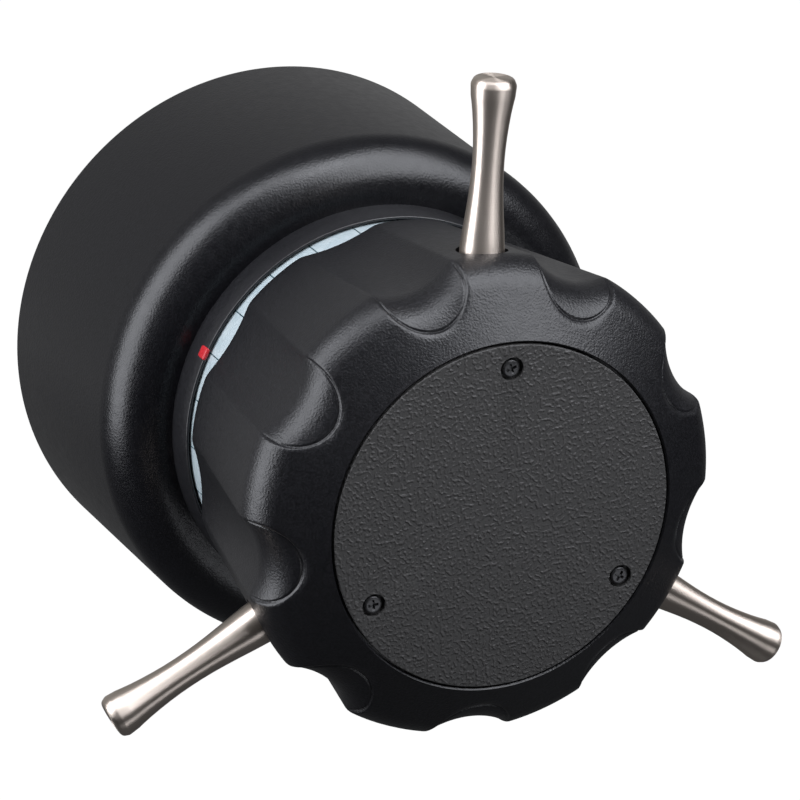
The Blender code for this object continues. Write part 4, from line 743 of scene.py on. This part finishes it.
# Slide the columns of points sideways, so that one of them runs along each flute's crease.
skin_radius = seat_radius + 1 * mm
still_depth = 2 * mm
cone_starts = 0.98
row_crease = {}
nominal = steps_to_crease * 2 * pi / knob_steps
for vert in shape.verts:
    radius, depth = hypot(vert.co.x, vert.co.z), vert.co.y
    if radius < skin_radius or depth < knob_face + still_depth:
        continue
    outline_point = Vector((radius, depth))
    height, share, way = lobe_line.measure(outline_point)
    key = (round(radius / mm, 2), round(depth / mm, 2))
    if key not in row_crease:
        row_crease[key] = crease_angle(radius, depth, way) if share < cone_starts else nominal
    angle = atan2(vert.co.x, vert.co.z)
    across = flute_middle(angle)
    knot = nominal + (row_crease[key] - nominal) * (1 - share)
    if abs(across) <= nominal:
        moved = abs(across) * knot / nominal
    else:
        moved = knot + (abs(across) - nominal) * (half_sector - knot) / (half_sector - nominal)
    angle += (moved if across > 0 else -moved) - across
    vert.co.x, vert.co.z = radius * sin(angle), radius * cos(angle)


def mouth_inside(across, out):
    """Distance inside the U-shaped end of a flute, seen from the front."""
    if out < mouth_centre:
        return flute_half - hypot(across, mouth_centre - out)
    return flute_half - abs(across)


def local_place(vert):
    """Sideways and outward place of a vertex from the middle of its flute."""
    radius = hypot(vert.co.x, vert.co.z)
    across = flute_middle(atan2(vert.co.x, vert.co.z))
    return radius * sin(across), radius * cos(across), radius


# Make the faces finer where each flute ends in its U.
fine_band = 0.9 * mm
shoulder_margin = 0.5 * mm
near_mouth = []
for face in shape.faces:
    middle = face.calc_center_median()
    radius = hypot(middle.x, middle.z)
    if middle.y > knob_face + shoulder_depth + shoulder_margin or radius < mouth_end - rim_width:
        continue
    across = flute_middle(atan2(middle.x, middle.z))
    inside = mouth_inside(radius * sin(across), radius * cos(across))
    if abs(inside) < fine_band:
        near_mouth += face.edges[:]
bmesh.ops.subdivide_edges(shape, edges=list(dict.fromkeys(near_mouth)), cuts=2, use_grid_fill=True)

# Sink the flutes' floors along the outline's normal, with the step, rim and groove of the U.
skin_depth = 0.3 * mm
back_band = 0.5 * mm
fade_rate = 3
for vert in shape.verts:
    across, out, radius = local_place(vert)
    outline_point = Vector((radius, vert.co.y))
    height, share, way = lobe_line.measure(outline_point)
    on_skin = abs(height) <= skin_depth and radius >= mouth_end - 2 * rim_width
    on_back = vert.co.y >= knob_back - back_band and radius > skin_radius
    if not (on_skin or on_back):
        continue
    fall = depth_under(across, Vector((out, vert.co.y)), way)
    scoop = (fall + sqrt(fall ** 2 + crease ** 2)) / 2
    if share > 0 and vert.co.y < knob_face + shoulder_depth + 2 * shoulder_margin:
        inside = mouth_inside(across, out)
        faded = min(1, share * fade_rate)
        step = min(1, max(0, fall / flute_step)) * faded
        mouth = min(1, max(0, inside / wall_width + 0.5))
        scoop *= max(mouth, 1 - faded)
        rim = max(0, 1 + min(0, inside) / rim_width) ** 2 * (1 - mouth)
        groove = max(0, 1 - abs(inside - wall_width) / groove_width)
        scoop += step * (rim_drop * rim + groove_depth * groove)
    turned = atan2(vert.co.x, vert.co.z) - atan2(across, out)
    out -= way[0] * scoop
    vert.co.y -= way[1] * scoop
    vert.co.x = across * cos(turned) + out * sin(turned)
    vert.co.z = out * cos(turned) - across * sin(turned)

bmesh.ops.recalc_face_normals(shape, faces=shape.faces)
bmesh.ops.rotate(shape, verts=shape.verts, cent=(0, 0, 0), matrix=Matrix.Rotation(knob_turn, 3, "Y"))
knob_paint = crinkle_paint("knob_crinkle", dark=(0.004, 0.004, 0.005), light=(0.01, 0.01, 0.012),
                           rough=0.36, grain=0.45 * mm, height=0.025 * mm)
grip = show(shape, "knob_casting", knob_paint, sharp=48)


# Handle sockets. Three plain holes bored through the lobes of the casting, with a dark gap round
# each handle's foot.
handle_y = (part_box("handle_1")[0].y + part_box("handle_1")[1].y) / 2
handle_count = 3
socket_radius = 5.2 * mm
socket_floor = 45.8 * mm


def handle_place(number):
    """Frame whose +Y runs out along a handle."""
    around = Matrix.Rotation(knob_turn + number * 2 * pi / handle_count, 4, "Y")
    return Matrix.Translation((0, handle_y, 0)) @ around @ Matrix.Rotation(pi / 2, 4, "X")


handle_places = [handle_place(number) for number in range(handle_count)]
socket_top = lobe_radius + 2 * mm
socket = turn([(0, socket_floor, 0), (socket_radius, socket_floor, 0),
               (socket_radius, socket_top, 0), (0, socket_top, 0)], 64)
carve(grip, place_copies(socket, handle_places))
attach(grip, "knob")
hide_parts("knob_grip")


# Handles. Turned from stainless steel bar and left satin: a foot, a hollow waist and a rounded
# band at the tip, each screwed into the knob by its stud.
stud_radius = 2 * mm
stud_end = 42.8 * mm
stud_edge = 0.2 * mm
handle_foot = 46.1 * mm
handle_profile = [
    (4.5, 46.1, 0.3), (4.42, 50.0, 0), (4.12, 53.2, 0), (3.76, 56.6, 0), (3.46, 59.8, 0),
    (3.27, 62.4, 0), (3.17, 65.0, 0), (3.14, 67.5, 0), (3.19, 69.9, 0), (3.32, 72.3, 0),
    (3.53, 74.8, 0), (3.8, 77.2, 0), (4.1, 79.2, 0), (4.3, 80.3, 0), (4.32, 80.4, 0),
    (4.34, 80.5, 0), (4.5, 82.8, 0.9), (3.9, 84.2, 0.9), (0, 84.2, 0),
]
steel_look, steel_shader = start_look("turned_steel", (0.6, 0.53, 0.47), 0.4, 1.0)
steel_place = add(steel_look, "Attribute", {}, attribute_name="along").outputs["Vector"]
lathe_marks = noise(steel_look, 0.12 * mm, 2.0, steel_place)
tint(steel_look, steel_shader, lathe_marks, (0.7, 0.615, 0.54), (0.78, 0.69, 0.61))
dull(steel_look, steel_shader, lathe_marks, 0.38, 0.44)
steel_shader.inputs["Anisotropic"].default_value = 0.85
axis_way = add(steel_look, "Attribute", {}, attribute_name="axis").outputs["Vector"]
axis_way = add(steel_look, "VectorTransform", {"Vector": axis_way}, vector_type="VECTOR",
               convert_from="OBJECT", convert_to="WORLD").outputs["Vector"]
feed(steel_look, axis_way, steel_shader, "Tangent")
bump(steel_look, steel_shader, lathe_marks, 0.0006 * mm)
for number, place in enumerate(handle_places, 1):
    outline = [(0, stud_end, 0), (stud_radius, stud_end, stud_edge), (stud_radius, handle_foot, 0)]
    outline += [(radius * mm, along * mm, rounding * mm) for radius, along, rounding in handle_profile]
    shape = turn(outline, 96, 4)
    marks = shape.verts.layers.float_vector.new("along")
    axis = shape.verts.layers.float_vector.new("axis")
    shape.normal_update()
    for vert in shape.verts:
        outwards = Vector((vert.co.x, 0, vert.co.z)).normalized()
        across = Vector((0, vert.normal.dot(outwards), 0)) - outwards * vert.normal.y
        vert[marks] = Vector((0, vert.co.y, 0))
        vert[axis] = place.to_3x3() @ across
    bmesh.ops.transform(shape, matrix=place, verts=shape.verts)
    handle = show(shape, f"turned_handle_{number}", steel_look, 30)
    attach(handle, "knob")
    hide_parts(f"handle_{number}")


# Face disc. A pressed aluminium plate in black leather-grain paint, sunk into the knob's front
# with a thin dark gap round it, and held by three small cross-head screws.
disc_radius = face_radius - seat_gap
disc_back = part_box("face_disc")[1].y
screw_circle = 30.8 * mm
screw_turn = knob_turn - radians(0.8)
sink_radius = 2.45 * mm
screw_seat = knob_face + 1.3 * mm
disc_edge = 0.25 * mm
face_screw_count = 3
grain_size = 0.7 * mm
disc_look, disc_shader = start_look("leather_grain", (0.04, 0.04, 0.042), 0.5, specular=0.35)
pebbles = ramp(disc_look, noise(disc_look, grain_size, 0.4), 0.48, 0.74, 0.0, 1.0)
disc_tone = ramp(disc_look, pebbles, 0.0, 1.0, (0.052, 0.051, 0.05), (0.07, 0.068, 0.067))
feed(disc_look, disc_tone, disc_shader, "Base Color")
dull(disc_look, disc_shader, noise(disc_look, 0.6 * mm), 0.42, 0.56)
under = bump(disc_look, disc_shader, pebbles, 0.15 * mm)
bump(disc_look, disc_shader, noise(disc_look, 0.35 * mm), 0.03 * mm, under)
disc = show(turn([
    (0, knob_face, 0),
    (disc_radius, knob_face, disc_edge),
    (disc_radius, disc_back, 0),
    (0, disc_back, 0),
], round_steps, 4), "face_plate", disc_look)
screw_angles = [screw_turn + number * 2 * pi / face_screw_count for number in range(face_screw_count)]
screw_spots = [Matrix.Translation((screw_circle * sin(angle), 0, screw_circle * cos(angle)))
               for angle in screw_angles]
sink_top = knob_face - cut_overrun
sink = turn([(0, sink_top, 0), (sink_radius, sink_top, 0), (sink_radius, screw_seat, 0),
             (0, screw_seat, 0)], 48)
carve(disc, place_copies(sink, screw_spots))
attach(disc, "knob")
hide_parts("face_disc")


# Face screws. The same black pan heads in a smaller size, set just below the disc's face.
head_front = knob_face + 0.3 * mm
face_screw_turn = 0.9
face_screw = cross_screw(head_front, head=1.9 * mm, height=1.0 * mm, shank=1.0 * mm, length=3.3 * mm,
                         slot_width=0.75 * mm, slot_length=3.8 * mm)
for number, spot in enumerate(screw_spots, 1):
    shape = face_screw.copy()
    bmesh.ops.rotate(shape, verts=shape.verts, cent=(0, 0, 0),
                     matrix=Matrix.Rotation(number * face_screw_turn, 3, "Y"))
    bmesh.ops.transform(shape, matrix=spot, verts=shape.verts)
    screw = show(shape, f"disc_screw_{number}", black_look)
    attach(screw, "knob")
    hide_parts(f"face_screw_{number}")
face_screw.free()


# Studio. A white floor and backdrop behind the object, four soft lamps and the camera of the
# photograph, which looks down at the knob from its left. Paint and steel mirror the backdrop dimly.
def lift_to_white(look, level, mirrored):
    """Raise a glow by a share in reflections, and to full white for the camera and through glass."""
    rays = add(look, "LightPath", {}).outputs
    for seen, share in (("Glossy", mirrored), ("Camera", 1.0), ("Transmission", 1.0)):
        part = add(look, "Math", {0: rays[f"Is {seen} Ray"], 1: share}, operation="MULTIPLY").outputs[0]
        level = add(look, "Mix", {0: part, 2: level, 3: 1.0}, data_type="FLOAT").outputs[0]
    return level


mirrored_share = 0.18
floor_far_glow = 0.07
dim_side, bright_side = 0.06, 0.265
behind_left = (-0.4, 0.85, 0.3)
behind_right = (0.4, 0.917, 0)
world = bpy.data.worlds.new("studio")
bpy.context.scene.world = world
world.use_nodes = True
backdrop = world.node_tree.nodes["Background"]
backdrop.inputs["Color"].default_value = (1, 1, 1, 1)
view_way = add(world, "TexCoord", {}).outputs["Generated"]
towards = add(world, "VectorMath", {0: view_way, 1: behind_left}, operation="DOT_PRODUCT")
level = ramp(world, towards.outputs["Value"], 0.25, 0.8, dim_side, bright_side)
ahead = add(world, "VectorMath", {0: view_way, 1: behind_right}, operation="DOT_PRODUCT")
mirrored = ramp(world, ahead.outputs["Value"], 0.75, 1.0, 0.0, mirrored_share)
feed(world, lift_to_white(world, level, mirrored), backdrop, "Strength")

floor_level = -0.6
floor_half = 6
floor_shape = bmesh.new()
bmesh.ops.create_grid(floor_shape, x_segments=2, y_segments=2, size=floor_half)
bmesh.ops.translate(floor_shape, verts=floor_shape.verts, vec=(0, 0, floor_level))
floor_look, floor_shader = start_look("white_floor", (0.08, 0.08, 0.08), 0.9, specular=0.1)
floor_shader.inputs["Emission Color"].default_value = (1, 1, 1, 1)
floor_place = add(floor_look, "TexCoord", {}).outputs["Object"]
floor_place = add(floor_look, "SeparateXYZ", {0: floor_place}).outputs["Y"]
floor_glow = ramp(floor_look, floor_place, 0.1, 0.9, 0.0, floor_far_glow)
mirrored = ramp(floor_look, floor_place, 0.8, 2.0, 0.0, mirrored_share)
floor_glow = lift_to_white(floor_look, floor_glow, mirrored)
feed(floor_look, floor_glow, floor_shader, "Emission Strength")
floor = show(floor_shape, "studio_floor", floor_look)


lamp_aim = Vector((0, -0.1, 0))
lamp_colour = (0.95, 0.97, 1.03)


def soft_lamp(name, azimuth, elevation, distance, size, radiance):
    """Rectangular lamp that faces the knob, with its angles in degrees from the front."""
    side, height = radians(azimuth), radians(elevation)
    way = Vector((sin(side) * cos(height), -cos(side) * cos(height), sin(height))) * distance
    lamp = bpy.data.lights.new(name, "AREA")
    lamp.shape = "RECTANGLE"
    lamp.size, lamp.size_y = size
    lamp.energy = radiance * pi * size[0] * size[1]
    lamp.color = lamp_colour
    holder = bpy.data.objects.new(name, lamp)
    holder.location = lamp_aim + way
    holder.rotation_euler = (-way).to_track_quat("-Z", "Y").to_euler()
    bpy.context.scene.collection.objects.link(holder)


soft_lamp("right_box", 46, 47, 1.0, (0.9, 0.95), 4.9)
soft_lamp("front_low", 22, -26, 1.0, (0.5, 0.3), 1.7)
soft_lamp("left_strip", -94, 22, 0.32, (0.2, 0.52), 4.8)
soft_lamp("top_box", -25, 76, 1.0, (0.8, 0.35), 5.0)

camera_spot = Vector((-0.34293, -0.86514, 0.33580))
right = Vector((0.91686, -0.39921, 0))
up = Vector((0.14272, 0.32779, 0.93391))
backward = Vector((-0.37283, -0.85626, 0.35751))
camera_data = bpy.data.cameras.new("camera")
camera_data.lens = 202.5
camera_data.sensor_width = 36
camera = bpy.data.objects.new("camera", camera_data)
turned = Matrix((right, up, backward)).transposed().to_4x4()
camera.matrix_world = Matrix.Translation(camera_spot) @ turned
bpy.context.scene.collection.objects.link(camera)
bpy.context.scene.camera = camera
bpy.context.scene.view_settings.view_transform = "Standard"
